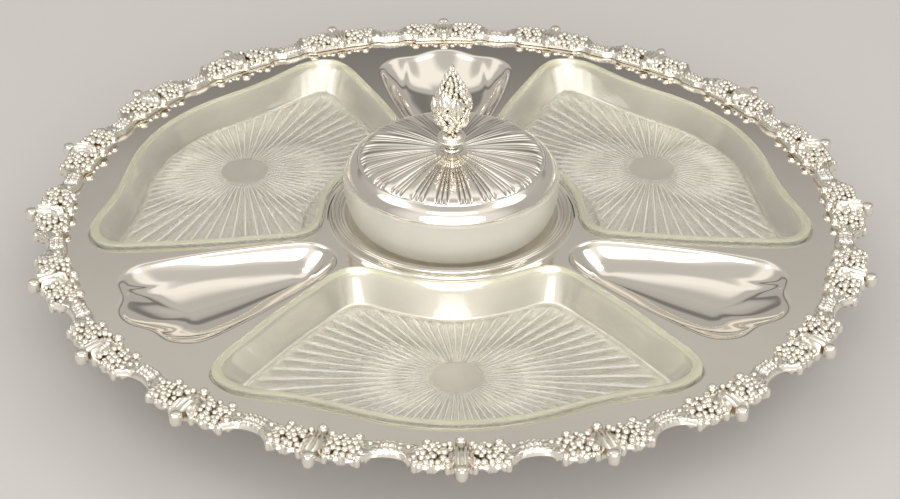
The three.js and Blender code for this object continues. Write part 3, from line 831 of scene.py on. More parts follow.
@dataclass
class GlassLiner:
    """A pressed glass liner of a well, with rays round a plain spot in its floor."""

    finishes: Finishes
    side: str
    angle: float
    body: Body
    rim_height: float = 53.0
    floor_height: float = 37.2
    bottom_height: float = 33.8
    rim_inset: float = 2.2  # of the rim's outer edge from the well's rim
    spot_radius: float = 14.4
    spot_place: float = 148.4  # of the spot's middle from the tray's
    rays: int = 64
    ray_steps: int = 10  # across each ray
    floor_steps: int = 30  # from the floor's edge to the spot
    fine_steps: int = 4000  # round the floor, where angles are measured
    ray_height: float = 1.1

    def places(self, shape: Well) -> np.ndarray:
        """Places round the floor outline at equal angles as seen from the middle of the spot.

        Args:
            shape: the well's outlines.

        Returns:
            The places.
        """
        fine = np.linspace(0, len(WELL_FLOOR) * 2 - 2, self.fine_steps)
        spots = shape.floor.at(fine) - [self.spot_place, 0]
        angle = np.unwrap(np.arctan2(spots[:, 1], spots[:, 0]))
        even = angle[0] + np.linspace(0, 2 * math.pi, self.rays * self.ray_steps, endpoint=False)
        return np.interp(even, angle, fine)

    def floor_rows(self, shape: Well, places: np.ndarray, inset: float, steps: int) -> np.ndarray:
        """Rows from a floor outline to the spot, raised into rays.

        The height of a ray is h (0.4 - (1 - |sin(n a / 2)|)^1.6), where h grows with the rays' distance
        from each other and fades out towards the spot and the floor's edge.

        Args:
            shape: the well's outlines.
            places: places round them.
            inset: inset of the floor outline.
            steps: rows from it to the spot.

        Returns:
            Rows of points about height 0.
        """
        outer = shape.outline(places, inset)
        away = outer - [self.spot_place, 0]
        direction = away / np.linalg.norm(away, axis=1, keepdims=True)
        inner = direction * self.spot_radius + [self.spot_place, 0]
        share = np.linspace(0, 1, steps)[:, None, None]
        flat = outer + share * (inner - outer)
        count = len(places)
        wave = 1 - (1 - np.abs(np.sin(math.pi * self.rays * np.arange(count) / count))) ** 1.6
        pitch = np.linalg.norm(flat - [self.spot_place, 0], axis=2) * 2 * math.pi / self.rays
        height = np.minimum(self.ray_height, pitch * 0.22) * (wave - 0.6) * self.fade(steps)
        return raised(flat, 0.0) + height[..., None] * UP

    @staticmethod
    def fade(steps: int) -> np.ndarray:
        """How strong the rays are at each step from the floor's edge to the spot."""
        share = np.linspace(0, 1, steps)[:, None]
        return smooth_step((1 - share) * 14) * smooth_step(share * 16)

    def surface(self) -> tuple[Surface, dict[str, np.ndarray]]:
        """The liner's shape, from under its floor over the rim to the spot.

        Returns:
            The liner as one closed surface, and its marks of painted light: "ray" is 1 along the cut lines
            between the rays, and "rim" is 1 over the rim.
        """
        shape = Well()
        places = self.places(shape)
        top, low, base = self.rim_height, self.floor_height, self.bottom_height
        inset = self.rim_inset
        outside = rounded([
            (15.4, 0.0), (14.2, 0.0, 1.2), (inset + 1.6, top - base - 6.0, 1.4),
            (inset, top - base - 2.8, 1.0), (inset, top - base, 1.1), (inset + 1.7, top - base),
        ], 6)
        inside_wall = rounded([
            (inset + 2.4, top - base), (inset + 3.9, top - base - 0.6, 1.3),
            (16.0, low - base, 2.2), (16.8, low - base),
        ], 6)
        profile = np.concatenate([outside, inside_wall])
        walls = shape.levels(places, profile * [1, -1], base)
        upper = self.floor_rows(shape, places, 17.2, self.floor_steps) + low * UP
        lower = self.floor_rows(shape, places, 15.6, 4)[::-1]
        lower[..., 2] = base
        rows = np.concatenate([lower, walls, upper])
        caps = [Surface.polygon(rows[0]).flipped(), Surface.polygon(rows[-1])]
        ray, rim = np.zeros((2, len(rows) + 2, len(places)))  # the last two rows are the caps' corners
        # painted highlights: the glass is lightened along the rays' cut lines
        line = np.abs(np.sin(math.pi * self.rays * np.arange(len(places)) / len(places)))
        ray[len(lower) + len(walls):-2] = np.exp(-((line / 0.3) ** 2)) * self.fade(self.floor_steps)
        # painted light gathered in the rim's thick glass
        rim[len(lower):len(lower) + len(walls)] = smooth_step((profile[:, 1:] - (top - base - 2.2)) / 1.2)
        marks = {"ray": ray.ravel(), "rim": rim.ravel()}
        return Surface.joined([Surface.grid(rows), *caps]).turned(self.angle), marks

    def make(self) -> None:
        """Makes the liner. It casts no shadow, so that light reaches the plate under it."""
        node = f"glass_insert_{self.side}"
        surface, marks = self.surface()
        piece = make_piece(f"glass_liner_{self.side}", surface, self.finishes.glass, self.body,
                           (node,), sharp=80, marks=marks)
        piece.visible_shadow = False
        piece.data.materials.append(self.finishes.frosted_glass)
        for face in piece.data.polygons:
            spot = len(face.vertices) > self.rays and face.center.z * METRE > self.floor_height - 0.5
            if spot:
                face.material_index = 1


@dataclass
class CoveredBowl:
    """The glass bowl in the middle of the tray, and its lid."""

    finishes: Finishes
    radius: float = 64.0
    wall: float = 3.4
    belly: float = 53.0  # radius at which the wall starts to rise
    foot_radius: float = 40.0
    floor_rise: float = 5.2  # of the pressed floor above the foot
    lid_radius: float = 62.3
    ring_height: float = 8.8  # of the lid's plain ring
    dome_radius: float = 55.0
    flutes: int = 24
    flute_depth: float = 0.85
    lobe_share: float = 0.56  # of the angle of one repeat of the lid's flutes
    reed_share: float = 0.22
    sheet: float = 1.3
    steps: int = 192

    def bowl(self) -> tuple[Surface, dict[str, np.ndarray]]:
        """The bowl, turned from one closed profile whose walls are quarter ellipses.

        Returns:
            The bowl, and its mark "ray", which is 1 over the pressed floor, where the glass takes more
            painted light.
        """
        low, high = (corner.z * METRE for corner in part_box("glass_bowl"))
        turn = np.linspace(0, math.pi / 2, 16)
        reach, thin = self.radius - self.belly, self.wall
        outer_wall = np.stack([
            self.belly + reach * np.sin(turn), high - 4.0 - (high - low - 5.6) * np.cos(turn)], axis=1)
        inner_wall = np.stack([
            self.belly - thin + reach * np.sin(turn),
            high - 4.0 - (high - low - 9.2) * np.cos(turn)], axis=1)[::-1]
        foot = rounded([
            (0.0, low + 1.2), (self.foot_radius - 5.5, low + 1.2, 0.6), (self.foot_radius - 5.0, low, 0.6),
            (self.foot_radius, low, 0.6), (self.foot_radius + 0.6, low + 1.6),
        ], 4)
        rim = rounded([
            (self.radius, high - 3.0), (self.radius, high, 1.2), (self.radius - thin, high, 1.2),
            (self.radius - thin, high - 3.0),
        ], 5)
        floor = np.linspace(44.0, 0.0, 8)[:, None] * [1, 0] + [0, low + self.floor_rise]
        profile = np.concatenate([foot, outer_wall, rim, inner_wall, floor])
        pressed = np.zeros((len(profile), self.steps))
        # more painted light over the pressed floor
        pressed[-len(floor) + 1:] = 1.0
        return lathe(profile, self.steps), {"ray": pressed.ravel()}

    def lid_profile(self) -> tuple[np.ndarray, np.ndarray]:
        """The lid's upper line and the share of the flutes' depth at each point of it.

        The ring bulges by a half sine. The dome falls from its top with the third power of the radius,
        and its edge rolls down over the last of it with the thirtieth.

        Returns:
            Points of radius and height from the rim inwards, and the shares.
        """
        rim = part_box("finial_collar")[0].z * METRE
        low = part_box("glass_bowl")[1].z * METRE + CLEARANCE
        edge = low + self.ring_height
        rise = np.linspace(0.0, 1.0, 10)
        bulge = np.sin(math.pi * rise)
        reach = self.lid_radius - self.dome_radius - 0.7
        ring = np.concatenate([
            rounded([
                (self.lid_radius - 0.6, low), (self.lid_radius, low, 0.4),
                (self.lid_radius, low + 1.0, 0.4), (self.lid_radius - 0.3, low + 1.2)], 4),
            np.stack([
                self.dome_radius + 0.4 + reach * (1 - rise) + 0.8 * bulge,
                low + 1.2 + 7.4 * rise + 0.7 * bulge], axis=1),
            [[self.dome_radius + 0.1, edge - 0.4]]])
        radius = self.dome_radius - (self.dome_radius - 7.0) * np.linspace(0, 1, 28) ** 1.5
        share = radius / self.dome_radius
        top = rim - CLEARANCE
        height = top - (top - edge - 2.2) * share**3.0 - 2.2 * share**30
        dome = np.stack([radius, height], axis=1)
        depth = smooth_step((1 - share) * self.dome_radius / 1.6) * smooth_step((radius - 6.0) / 30.0) ** 0.6
        profile = np.concatenate([ring, dome])
        return profile, np.concatenate([np.zeros(len(ring)), depth])

    def lid(self) -> tuple[Surface, dict[str, np.ndarray]]:
        """The lid: its profile turned, with lobes parted along the dome.

        In each repeat a wide lobe takes over half of the angle and two reeds share the rest. A lobe's
        relief at place u across it is 1 - |2u - 1|^5, and a reed rises 0.6 times as far.

        Returns:
            The lid, and its mark of painted shade, which is 1 between the lobes.
        """
        profile, depth = self.lid_profile()
        count = self.flutes * 36
        angle = 2 * math.pi * np.arange(count) / count
        place = (self.flutes * angle / (2 * math.pi) + self.lobe_share / 2 - 0.25 * self.flutes) % 1.0
        wide = place < self.lobe_share
        across = np.where(wide, place / self.lobe_share, ((place - self.lobe_share) / self.reed_share) % 1.0)
        lobe = (1 - np.abs(2 * across - 1) ** 5) * np.where(wide, 1.0, 0.6)
        along = np.gradient(profile, axis=0)
        along /= np.linalg.norm(along, axis=1, keepdims=True)
        sunk = (depth * self.flute_depth)[:, None] * (1 - lobe)
        radius = profile[:, :1] - sunk * along[:, 1:]
        height = profile[:, 1:] + sunk * along[:, :1]
        # painted shade: dark between the lobes, where shade falls in the creases
        crease_shade = (1 - np.minimum(lobe / lobe.max(), 1.0)) ** 2 * smooth_step(depth)[:, None]
        surface = Surface.grid(np.stack([radius * np.cos(angle), radius * np.sin(angle), height], axis=-1))
        return surface, {"crease_shade": crease_shade.ravel()}

    def locator(self) -> Surface:
        """The ring under the lid that drops into the bowl.

        Returns:
            The ring, closed all round.
        """
        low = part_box("lid")[0].z * METRE
        inner = self.radius - self.wall - 1.7
        return lathe(rounded([
            (inner, low), (inner + 1.2, low, 0.5), (inner + 1.2, low + 5.0), (inner, low + 5.0),
        ], 3, closed=True), self.steps, closed=True)

    def make(self) -> None:
        """Makes the bowl, the lid and the lid's ring."""
        surface, marks = self.bowl()
        bowl = make_piece("glass_bowl_body", surface, self.finishes.bowl_glass, Body.BOWL,
                          ("glass_bowl",), sharp=80, marks=marks)
        bowl.visible_shadow = False
        surface, marks = self.lid()
        make_piece("fluted_lid", surface, self.finishes.plate, Body.LID, ("lid",),
                   self.sheet, 60, marks)
        make_piece("lid_locating_ring", self.locator(), self.finishes.plate, Body.LID)


def bead(radius: float, squash: float = 1.0, sides: int = 8) -> Surface:
    """A round bead, cut off flat below its middle: x = r cos a sin b, z = r s cos b.

    Args:
        radius: the bead's radius.
        squash: height over radius.
        sides: steps round it.

    Returns:
        The bead, with its middle at the origin.
    """
    angle = np.linspace(0, 2 * math.pi, sides, endpoint=False)
    fall = np.linspace(math.pi * 0.66, 0.0, 5)[:, None]
    points = np.stack([
        radius * np.cos(angle) * np.sin(fall), radius * np.sin(angle) * np.sin(fall),
        radius * squash * np.cos(fall) + 0 * angle], axis=-1)
    return Surface.joined([Surface.grid(points), Surface.polygon(points[0]).flipped()])


@dataclass
class GrapeBorder:
    """The cast border: grapes, leaves, buds and scrolls in repeats round the tray.

    Angles are degrees from a repeat's leaf, so a repeat runs from -9 to 9 and a scroll lies at 9.
    """

    finishes: Finishes
    repeats: int = 20
    columns: int = 72  # steps of the ground casting in one repeat
    rows: int = 28
    foot_gaps: tuple[float, ...] = (2.5, 4.5, 6.2)  # angles of the gaps along the foot
    bottom: float = 47.9
    seat: float = 50.3  # height at which the casting lies over the tray's edge
    sheet_edge: float = 231.6  # radius at which it reaches down beside that edge
    grape_rows: tuple[float, ...] = (231.4, 234.5, 237.6, 240.7, 243.8)  # radii
    grape_columns: int = 5
    grape_start: float = 1.65  # angle of a row's first grape, which chance adds to
    grape_stagger: float = 0.42  # the same in every other row, more by this
    grape_pitch: float = 0.86  # angle from grape to grape
    grape_size: float = 1.7  # radius of the smallest grape
    grape_squash: float = 0.85
    side_beads: tuple[tuple[float, float, float, float], ...] = (  # angle, radius, height and size
        (1.45, 229.0, 3.4, 2.0), (3.0, 228.6, 2.9, 1.8), (6.6, 232.6, 3.2, 1.9))
    inner_beads: tuple[tuple[float, float, float, float, float], ...] = (  # the same, and squash
        (0.0, 227.0, 3.2, 3.2, 1.05), (4.9, 228.2, 3.0, 3.0, 0.85), (-4.3, 228.0, 2.9, 2.7, 1.0))
    edge_tips: tuple[float, ...] = (-5.6, -3.6, -1.6, 1.6, 3.6, 5.6)  # angles of the small leaf tips

    @property
    def half(self) -> float:
        """Half the angle of a repeat."""
        return 180 / self.repeats

    def edges(self, away: np.ndarray) -> tuple[np.ndarray, np.ndarray]:
        """The ground casting's inner and outer edge at an angle away from the leaf.

        The outer edge arches in at the scroll, and is lobed along the leaf and its grapes.

        Args:
            away: angles without a sign.

        Returns:
            The radii of both edges.
        """
        bunch = smooth_step((7.3 - away) / 2.2)
        outer = 238.8 + 4.2 * np.clip((self.half - away) / 3.0, 0, 1) ** 2
        outer = outer + (246.4 - outer) * bunch + 0.6 * np.cos(away * 2 * math.pi / 1.45) * bunch
        inner = 226.8 + 2.4 * smooth_step((away - 4.6) / 1.2) - 2.0 * smooth_step((away - 6.4) / 1.6)
        return inner, outer

    def relief(self, degrees: np.ndarray, radius: np.ndarray) -> np.ndarray:
        """Height of the ground casting above its seat.

        Four forms are laid over each other and the highest counts: a low ground with rounded
        edges, a fan-shaped leaf with five flutes, slanting curled foliage beside the bunches, and
        scrolls with ribs along them, of the section h sqrt(1 - |2v - 1|^2.5) + rib |sin(3 pi v)| at
        share v across.

        Args:
            degrees: angle from the leaf.
            radius: distance from the tray's middle.

        Returns:
            The heights.
        """
        away = np.abs(degrees)
        inner, outer = self.edges(away)
        edge = np.minimum(radius - inner, outer - radius)
        ground = 0.7 + 2.4 * (1 - np.exp(-np.maximum(edge, 0) / 1.1))
        across = np.radians(degrees) * radius
        reach = np.clip((radius - 229.0) / 18.0, 0, 1)
        half = 1.6 + 7.0 * np.sin(math.pi * reach * 0.62) ** 1.2
        share = np.clip(across / half, -1, 1)
        leaf = (5.7 - 2.0 * share**2 - 1.4 * reach**4 + 0.9 * np.cos(5 * math.pi * share)) * smooth_step(
            (half - np.abs(across)) / 1.0) * smooth_step(reach * 6)
        v = np.clip((radius - inner) / (outer - inner), 0, 1)
        scroll = 4.4 * np.sqrt(np.clip(1 - np.abs(2 * v - 1) ** 2.5, 0, 1))
        scroll = scroll + 0.9 * np.abs(np.sin(3 * math.pi * v))
        scroll = scroll * smooth_step((away - 7.2) / 0.8) * (1 - 0.12 * np.cos(away * 2 * math.pi / 0.75))
        curl = np.abs(np.cos(math.pi * (radius - 0.9 * np.radians(away) * radius) / 2.9))
        foliage = (2.9 + 1.5 * curl**0.7) * smooth_step((away - 5.0) / 0.5) * smooth_step((8.1 - away) / 0.7)
        return np.maximum.reduce([ground, leaf, scroll, foliage * smooth_step(edge / 1.6)])

    def ground(self) -> Surface:
        """The casting under the grapes, as one closed ring.

        Its section is the relief on top and a flat foot below, which lifts under the scrolls and at
        the gaps. Rows of the relief lie closer at both edges: radius share (1/2 - cos(pi v) / 2)^0.9.

        Returns:
            The casting.
        """
        count = self.repeats * self.columns
        degrees = ((np.arange(count) / self.columns + 0.5) % 1.0 - 0.5) * 2 * self.half
        away = np.abs(degrees)
        inner, outer = self.edges(away)
        across = np.linspace(0, 1, self.rows)[:, None]
        radius = inner + (outer - inner) * (0.5 - 0.5 * np.cos(across * math.pi)) ** 0.9
        upper = np.stack([radius, self.seat + self.relief(degrees, radius)], axis=-1)
        gaps = sum(np.exp(-(((away - gap) / 0.3) ** 4)) for gap in self.foot_gaps)
        lift = np.minimum(1.0, gaps + smooth_step((away - 6.6) / 0.4))
        low = np.minimum(self.bottom + 2.3 * lift, self.seat - 0.05)
        foot = np.stack([
            np.stack([outer - 0.5, low], axis=-1),
            np.stack([np.full(count, self.sheet_edge), low], axis=-1),
            np.stack([np.full(count, self.sheet_edge), np.full(count, self.seat)], axis=-1),
            np.stack([inner + 0.5, np.full(count, self.seat)], axis=-1),
        ])
        section = np.concatenate([upper, foot])
        angle = math.radians(90) + 2 * math.pi * np.arange(count) / count
        points = np.stack([
            section[..., 0] * np.cos(angle), section[..., 0] * np.sin(angle), section[..., 1]], axis=-1)
        return Surface.grid(points, close_rows=True).flipped()

    def spot(self, degrees: float, radius: float, height: float, shape: Surface) -> Surface:
        """A shape set on the first repeat, at a height above the seat."""
        return shape.moved(radius, 0.0, self.seat + height).turned(90 + degrees)

    def grapes(self, chance: np.random.Generator) -> list[Surface]:
        """One repeat's grapes: a bunch on both sides of the leaf, and larger beads along the inside.

        Args:
            chance: the repeat's own random numbers.

        Returns:
            The beads. None of the bunches' hangs over the casting's outer edge.
        """
        parts = []
        for side in (-1, 1):
            for row, radius in enumerate(self.grape_rows):
                for column in range(self.grape_columns):
                    degrees = self.grape_start + self.grape_stagger * (row % 2) + self.grape_pitch * column
                    degrees = degrees + 0.5 * chance.random()
                    size = self.grape_size + 0.85 * chance.random() ** 1.5
                    height = 3.9 - 0.35 * abs(row - 2) - 0.25 * column + 1.3 * chance.random()
                    edge = float(self.edges(np.array(degrees))[1])
                    spot = min(radius + 1.5 * chance.random() - 0.75, edge - 0.7 * size)
                    parts.append(self.spot(side * degrees, spot, height, bead(size, self.grape_squash)))
            for degrees, radius, height, size in self.side_beads:
                parts.append(self.spot(side * degrees, radius, height, bead(size)))
        for degrees, radius, height, size, squash in self.inner_beads:
            parts.append(self.spot(degrees, radius, height, bead(size, squash, 10)))
        return parts

    def tip(self, degrees: float, out: float, half: float, top: float) -> Surface:
        """A leaf's tip at the casting's edge, upright from the border's foot and narrower outwards.

        Args:
            degrees: its angle.
            out: how far its middle lies beyond the casting's edge.
            half: half its width.
            top: height of its top.

        Returns:
            The tip.
        """
        radius = float(self.edges(np.array(abs(degrees)))[1]) + out
        profile = rounded([
            (0.0, self.bottom), (half * 0.86, self.bottom, 0.6), (half, self.bottom + 2.4),
            (half * 0.97, top - 1.0, 0.8), (half * 0.7, top, 0.5), (0.0, top + 0.3)], 3)
        shape = lathe(profile, 12)
        narrow = 0.72 + 0.28 * np.clip(1 - shape.points[:, :1] / half, 0, 1)
        points = shape.points * np.concatenate([np.ones_like(narrow), narrow, np.ones_like(narrow)], axis=1)
        return Surface(points, shape.faces).moved(radius).turned(90 + degrees)

    def make(self) -> None:
        """Makes the border. Each repeat has its own chance, so no two bunches are quite alike."""
        parts = [self.ground()]
        for repeat in range(self.repeats):
            chance = np.random.default_rng(repeat)
            shapes = [
                *self.grapes(chance), self.tip(0.0, 2.9, 3.9, self.bottom + 7.4),
                *(self.tip(degrees, -1.2, 2.1, self.bottom + 5.6) for degrees in self.edge_tips)]
            parts.append(Surface.joined(shapes).turned(repeat * 360 / self.repeats))
        make_piece("grape_border", Surface.joined(parts), self.finishes.cast, Body.TURNTABLE,
                   ("border_casting",), sharp=75)


@dataclass
class GrapeFinial:
    """The finial: a turned collar, a flattened knop and a bunch of grapes under vine leaves."""

    finishes: Finishes
    knop_radius: float = 8.4
    knop_half: float = 4.5
    knop_middle: float = 102.8
    bunch_bottom: float = 107.3
    row_gap: float = 2.9  # between the bunch's rows of grapes
    seed: int = 11
    leaves: tuple[tuple[float, float, float, float], ...] = (  # turn, foot, length and half width
        (-78, 13, 15, 4.6), (-40, 6, 13, 4.2), (-118, 18, 12, 3.2), (20, 12, 15, 4.4),
        (75, 8, 16, 4.6), (135, 14, 14, 4.0), (185, 8, 15, 4.6), (230, 17, 13, 3.4),
    )

    def stalk(self) -> Surface:
        """The turned part, from the stem's end to the top of the knop.

        Returns:
            The stem, the knop and the bunch's root as one surface.
        """
        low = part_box("finial")[0].z * METRE
        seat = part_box("finial_collar")[1].z * METRE + CLEARANCE
        turn = np.linspace(-0.42, 0.44, 18) * math.pi
        knop = np.stack([
            self.knop_radius * np.cos(turn), self.knop_middle + self.knop_half * np.sin(turn)], axis=1)
        neck = rounded([
            (0.0, low), (1.9, low, 0.4), (1.9, seat), (4.4, seat, 0.4), (3.6, seat + 0.9, 0.4)], 4)
        root = self.bunch_bottom
        head = rounded([(2.8, root - 0.2), (3.4, root + 1.6), (0.0, root + 3)])
        return lathe(np.concatenate([neck, knop, head]), 64)

    def reach(self, height: np.ndarray) -> np.ndarray:
        """The bunch's outline.

        Args:
            height: heights above the bunch's bottom.

        Returns:
            The bunch's radius at each.
        """
        heights = [0.0, 2.2, 6.5, 10.7, 16.2, 21.2, 27.5, 31.7, 34.0, 38.0, 41.0, 43.7]
        radii = [2.8, 5.4, 8.8, 10.4, 10.8, 10.0, 7.8, 5.8, 4.6, 2.4, 1.4, 0.3]
        return np.interp(height, heights, radii)

    def bunch(self) -> list[Surface]:
        """Grapes in staggered rows round a core, longer and more pointed towards the tip.

        Returns:
            The core and the grapes.
        """
        chance = np.random.default_rng(self.seed)
        rise = np.linspace(0, 43.4, 24)
        core = lathe(np.stack([self.reach(rise) * 0.6, self.bunch_bottom + rise], axis=1), 20)
        parts = [core]
        for row, height in enumerate(np.arange(2.4, 41.5, self.row_gap)):
            size = np.interp(height, [0, 14, 28, 43], [2.0, 2.3, 1.6, 0.8])
            reach = float(self.reach(height)) - size * 0.8
            count = max(3, int(2 * math.pi * max(reach, 1.0) / (size * 1.9)))
            for number in range(count):
                turn = 360 * (number + 0.5 * (row % 2)) / count + 14 * chance.random()
                grape = bead(size * (0.85 + 0.3 * chance.random()), 1.1)
                length = np.interp(height, [0, 16, 43], [1.15, 1.25, 2.4])
                laid = grape.points @ np.array([[0, 0, -1], [0, 1, 0], [1, 0, 0]]) * [1.0, 1.0, length]
                out = max(reach + 0.7 * chance.random() - 0.35, 0.4)
                parts.append(Surface(laid, grape.faces).moved(
                    out, 0, self.bunch_bottom + height + 1.2 * chance.random() - 0.6).turned(turn))
        return parts

    def leaf(self, turn: float, low: float, length: float, width: float) -> Surface:
        """A vine leaf laid up the bunch, with a lobed edge, a midrib and side veins.

        Args:
            turn: where it lies round the bunch, in degrees.
            low: height of its foot above the bunch's bottom.
            length: its length.
            width: half its width.

        Returns:
            The leaf, as a closed plate.
        """
        along = np.linspace(0, 1, 25)[:, None]
        across = np.linspace(-1, 1, 13)[None]
        half = width * np.sin(math.pi * (0.1 + 0.88 * along))
        half = half * (0.85 + 0.3 * np.abs(np.sin(along * math.pi * 2.5)))
        height = low + length * along
        veins = 0.45 * np.abs(np.cos(math.pi * (2.5 * along + 1.2 * np.abs(across))))
        lift = 0.5 + 0.9 * (1 - across**2) - 0.9 * np.exp(-((across / 0.12) ** 2)) + veins
        radius = self.reach(height) + lift
        angle = across * half / np.maximum(radius, 3.0)
        outer = np.stack([radius * np.cos(angle), radius * np.sin(angle),
                          self.bunch_bottom + height - 0.8 * across**2 + 0 * across], axis=-1)
        inner = outer * [0.78, 0.78, 1.0]
        ring = np.concatenate([outer, inner[:, ::-1]], axis=1)
        ends = [Surface.polygon(ring[0]), Surface.polygon(ring[-1]).flipped()]
        return Surface.joined([Surface.grid(ring), *ends]).turned(turn)

    def make(self) -> None:
        """Makes the finial and its collar."""
        leaves = [self.leaf(*sizes) for sizes in self.leaves]
        shape = Surface.joined([self.stalk(), *self.bunch(), *leaves])
        make_piece("grape_finial", shape, self.finishes.cast, Body.LID, ("finial",), sharp=60)
        low, high = (corner.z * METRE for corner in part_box("finial_collar"))
        collar = rounded([
            (2.25, low), (6.0, low, 0.5), (6.0, low + 0.6, 0.5), (4.9, high, 0.4), (2.25, high),
        ], 4, closed=True)
        make_piece("finial_seat_ring", lathe(collar, 64, closed=True), self.finishes.plate, Body.LID,
                   ("finial_collar",))


@dataclass
class TurntableBase:
    """The spun foot under the tray, with the bearing that the frame holds."""

    finishes: Finishes
    foot_radius: float = 112.0
    foot_width: float = 6.0
    rim: float = 2.4  # height and width of the step from the flat rim to the cove
    plate_radius: float = 60.0
    neck_radius: float = 70.0
    sheet: float = 1.5
    bore: float = 3.35

    def shell(self) -> Surface:
        """The foot, turned from one closed profile: a flat rim, a cove and a plate.

        Returns:
            The foot, closed all round.
        """
        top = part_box("base_shell")[1].z * METRE
        turn = np.linspace(0, math.pi / 2, 20)
        reach = self.foot_radius - self.rim - self.neck_radius
        rise = top - self.sheet - self.rim

        def cove(inset: float) -> np.ndarray:
            """The cove's line: a quarter ellipse, or its inner side.

            Args:
                inset: how far it lies behind the outer side.

            Returns:
                Points of radius and height, from the rim up.
            """
            return np.stack([
                self.foot_radius - self.rim - (reach + inset) * np.sin(turn),
                self.rim + rise * (1 - np.cos(turn)) - inset * np.cos(turn)], axis=1)

        outside = np.concatenate([
            rounded([(self.foot_radius - self.foot_width, 0.0), (self.foot_radius, 0.0, 0.5),
                     (self.foot_radius, 1.4, 0.6)], 4),
            cove(0.0), [[self.plate_radius, top], [self.bore, top]]])
        inner = np.concatenate([
            [[self.bore, top - self.sheet], [self.plate_radius - 1, top - self.sheet]],
            cove(self.sheet)[::-1][:-1], [[self.foot_radius - self.foot_width, 0.9]]])
        return lathe(np.concatenate([outside, inner]), 192, closed=True)

    def make(self) -> None:
        """Makes the foot and gives every node of the frame the finish of its slot."""
        make_piece("spun_foot", self.shell(), self.finishes.plate, Body.BASE, ("base_shell",))
        finishes = {
            Slot.PLATE: self.finishes.plate, Slot.CAST: self.finishes.cast,
            Slot.GLASS: self.finishes.glass, Slot.STEEL: self.finishes.steel, Slot.BRASS: self.finishes.brass}
        for part in frame["record"]["subparts"]:
            node = frame["nodes"][part["node"]]
            node.data.materials.clear()
            node.data.materials.append(finishes[Slot(part["material_slot"])])


@dataclass(frozen=True)
class Lamp:
    """A lamp with a wide elliptic face. Places and sizes are metres, and the power is watts."""

    name: str
    place: tuple[float, float, float]
    size: tuple[float, float]
    power: float


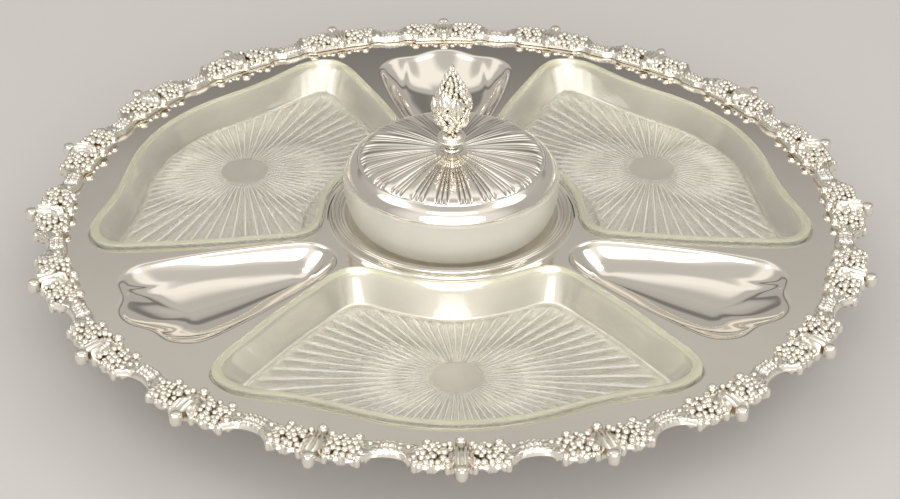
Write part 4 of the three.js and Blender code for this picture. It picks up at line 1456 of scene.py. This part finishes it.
@dataclass
class Studio:
    """The floor, the lights and the camera.

    The world's levels are stops of the sine of the height above the horizon and a brightness. Those
    of the sides give way to those behind and in front from a near to a far share of that direction.
    """

    focal: float = 85.43
    camera_place: tuple[float, float, float] = (-27.4, -1088.9, 720.0)
    elevation: float = 32.55
    azimuth: float = -1.44
    roll: float = 0.40
    shift: float = -0.00103
    floor_colour: tuple[float, float, float] = (0.62, 0.61, 0.594)
    floor_half: float = 6.0  # metres
    warmth: tuple[float, float, float] = (1.0, 0.96, 0.9)
    sides: tuple[tuple[float, float], ...] = (
        (0.0, 0.45), (0.5, 0.47), (0.69, 0.53), (0.77, 1.0), (0.9, 1.0), (0.96, 0.6), (1.0, 0.57))
    behind: tuple[tuple[float, float], ...] = (
        (0.0, 0.45), (0.36, 0.45), (0.41, 0.21), (0.455, 0.2), (0.478, 0.29), (0.5, 0.42),
        (0.525, 0.46), (0.574, 0.54), (0.62, 0.53), (0.85, 0.52), (1.0, 0.57))
    behind_share: tuple[float, float] = (0.55, 0.8)
    front: tuple[tuple[float, float], ...] = (
        (0.0, 0.8), (0.5, 0.9), (0.76, 0.92), (0.9, 0.88), (0.96, 0.6), (1.0, 0.57))
    front_share: tuple[float, float] = (-0.3, -0.65)
    lamps: tuple[Lamp, ...] = (
        Lamp("left lamp", (-1.15, 0.0, 1.5), (0.95, 0.95), 2.2),
        Lamp("right lamp", (1.15, 0.0, 1.5), (0.95, 0.95), 2.2),
        Lamp("front lamp", (0.0, -1.15, 2.0), (1.7, 0.9), 4.2),
        Lamp("low front lamp", (0.0, -3.2, 1.5), (4.4, 1.6), 56.0),
    )

    def camera(self) -> None:
        """The camera at the photograph's angle. Its axes are right, up and back, turned by the roll."""
        tilt, turn, roll = (math.radians(angle) for angle in (self.elevation, self.azimuth, self.roll))
        back = Vector((math.sin(turn) * math.cos(tilt), -math.cos(turn) * math.cos(tilt), math.sin(tilt)))
        right = Vector((math.cos(turn), math.sin(turn), 0.0))
        up = back.cross(right)
        right, up = right * math.cos(roll) + up * math.sin(roll), up * math.cos(roll) - right * math.sin(roll)
        lens = bpy.data.cameras.new("camera")
        lens.lens = self.focal
        lens.sensor_width = 36.0
        lens.shift_x = self.shift
        lens.clip_start, lens.clip_end = 0.05, 40.0
        camera = bpy.data.objects.new("camera", lens)
        turn_matrix = Matrix((right, up, back)).transposed().to_4x4()
        camera.matrix_world = Matrix.Translation(Vector(self.camera_place) / METRE) @ turn_matrix
        bpy.context.scene.collection.objects.link(camera)
        bpy.context.scene.camera = camera

    def floor(self) -> None:
        """The pale floor that the object stands on."""
        sheet = NodeSheet("pale_floor")
        sheet.shader.inputs["Base Color"].default_value = (*self.floor_colour, 1.0)
        sheet.shader.inputs["Roughness"].default_value = 0.6
        sheet.shader.inputs["Specular IOR Level"].default_value = 0.2
        mesh = bpy.data.meshes.new("floor")
        half = self.floor_half
        corners = [(-half, -half, 0), (half, -half, 0), (half, half, 0), (-half, half, 0)]
        mesh.from_pydata(corners, [], [(0, 1, 2, 3)])
        mesh.materials.append(sheet.material)
        floor = bpy.data.objects.new("floor", mesh)
        bpy.context.scene.collection.objects.link(floor)

    @staticmethod
    def hang(lamp: Lamp) -> None:
        """Hangs a lamp, turned towards the object.

        Args:
            lamp: its place, size and power.
        """
        light = bpy.data.lights.new(lamp.name, "AREA")
        light.shape = "ELLIPSE"
        light.size, light.size_y = lamp.size
        light.energy = lamp.power
        holder = bpy.data.objects.new(lamp.name, light)
        holder.location = lamp.place
        holder.rotation_euler = (-Vector(lamp.place)).to_track_quat("-Z", "Y").to_euler()
        bpy.context.scene.collection.objects.link(holder)

    def world(self) -> None:
        """A tent of light: bright in front and high at the sides, warm grey overhead, dark low behind."""
        world = bpy.data.worlds.new("studio")
        world.use_nodes = True
        nodes, links = world.node_tree.nodes, world.node_tree.links
        place = nodes.new("ShaderNodeTexCoord")
        split = nodes.new("ShaderNodeSeparateXYZ")
        links.new(place.outputs["Generated"], split.inputs[0])
        sides, behind, front = (self.levels(nodes, stops) for stops in (self.sides, self.behind, self.front))
        for ramp in (sides, behind, front):
            links.new(split.outputs["Z"], ramp.inputs["Fac"])
        colour = sides.outputs["Color"]
        for ramp, reach in ((behind, self.behind_share), (front, self.front_share)):
            share = nodes.new("ShaderNodeMapRange")
            share.inputs["From Min"].default_value, share.inputs["From Max"].default_value = reach
            links.new(split.outputs["Y"], share.inputs["Value"])
            blend = nodes.new("ShaderNodeMix")
            blend.data_type = "RGBA"
            links.new(share.outputs["Result"], blend.inputs["Factor"])
            links.new(colour, blend.inputs["A"])
            links.new(ramp.outputs["Color"], blend.inputs["B"])
            colour = blend.outputs["Result"]
        links.new(colour, nodes["Background"].inputs["Color"])
        bpy.context.scene.world = world

    def levels(self, nodes: bpy.types.Nodes, stops: tuple[tuple[float, float], ...]) -> bpy.types.Node:
        """A ramp of warm greys over the sine of the height above the horizon.

        Args:
            nodes: the world's nodes.
            stops: places on the ramp and their levels.

        Returns:
            The ramp.
        """
        ramp = nodes.new("ShaderNodeValToRGB")
        elements = ramp.color_ramp.elements
        while len(elements) < len(stops):
            elements.new(0.5)
        for element, (where, level) in zip(elements, stops):
            element.position = where
            element.color = (*(level * share for share in self.warmth), 1.0)
        return ramp

    def make(self) -> None:
        """Sets up the whole studio."""
        bpy.context.scene.view_settings.view_transform = "Standard"
        self.camera()
        self.floor()
        self.world()
        for lamp in self.lamps:
            self.hang(lamp)


def main() -> None:
    """Builds the object round the frame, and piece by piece."""
    logging.basicConfig(level=logging.INFO, format="%(message)s")
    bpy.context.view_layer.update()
    finishes = Finishes()
    Studio().make()
    TurntableBase(finishes).make()
    ServingTray(finishes).make()
    GrapeBorder(finishes).make()
    for side, angle, body in (("front", -90.0, Body.INSERT_FRONT), ("right", 30.0, Body.INSERT_RIGHT),
                              ("left", 150.0, Body.INSERT_LEFT)):
        GlassLiner(finishes, side, angle, body).make()
    CoveredBowl(finishes).make()
    GrapeFinial(finishes).make()
    bpy.context.view_layer.update()


if __name__ == "__main__":
    main()
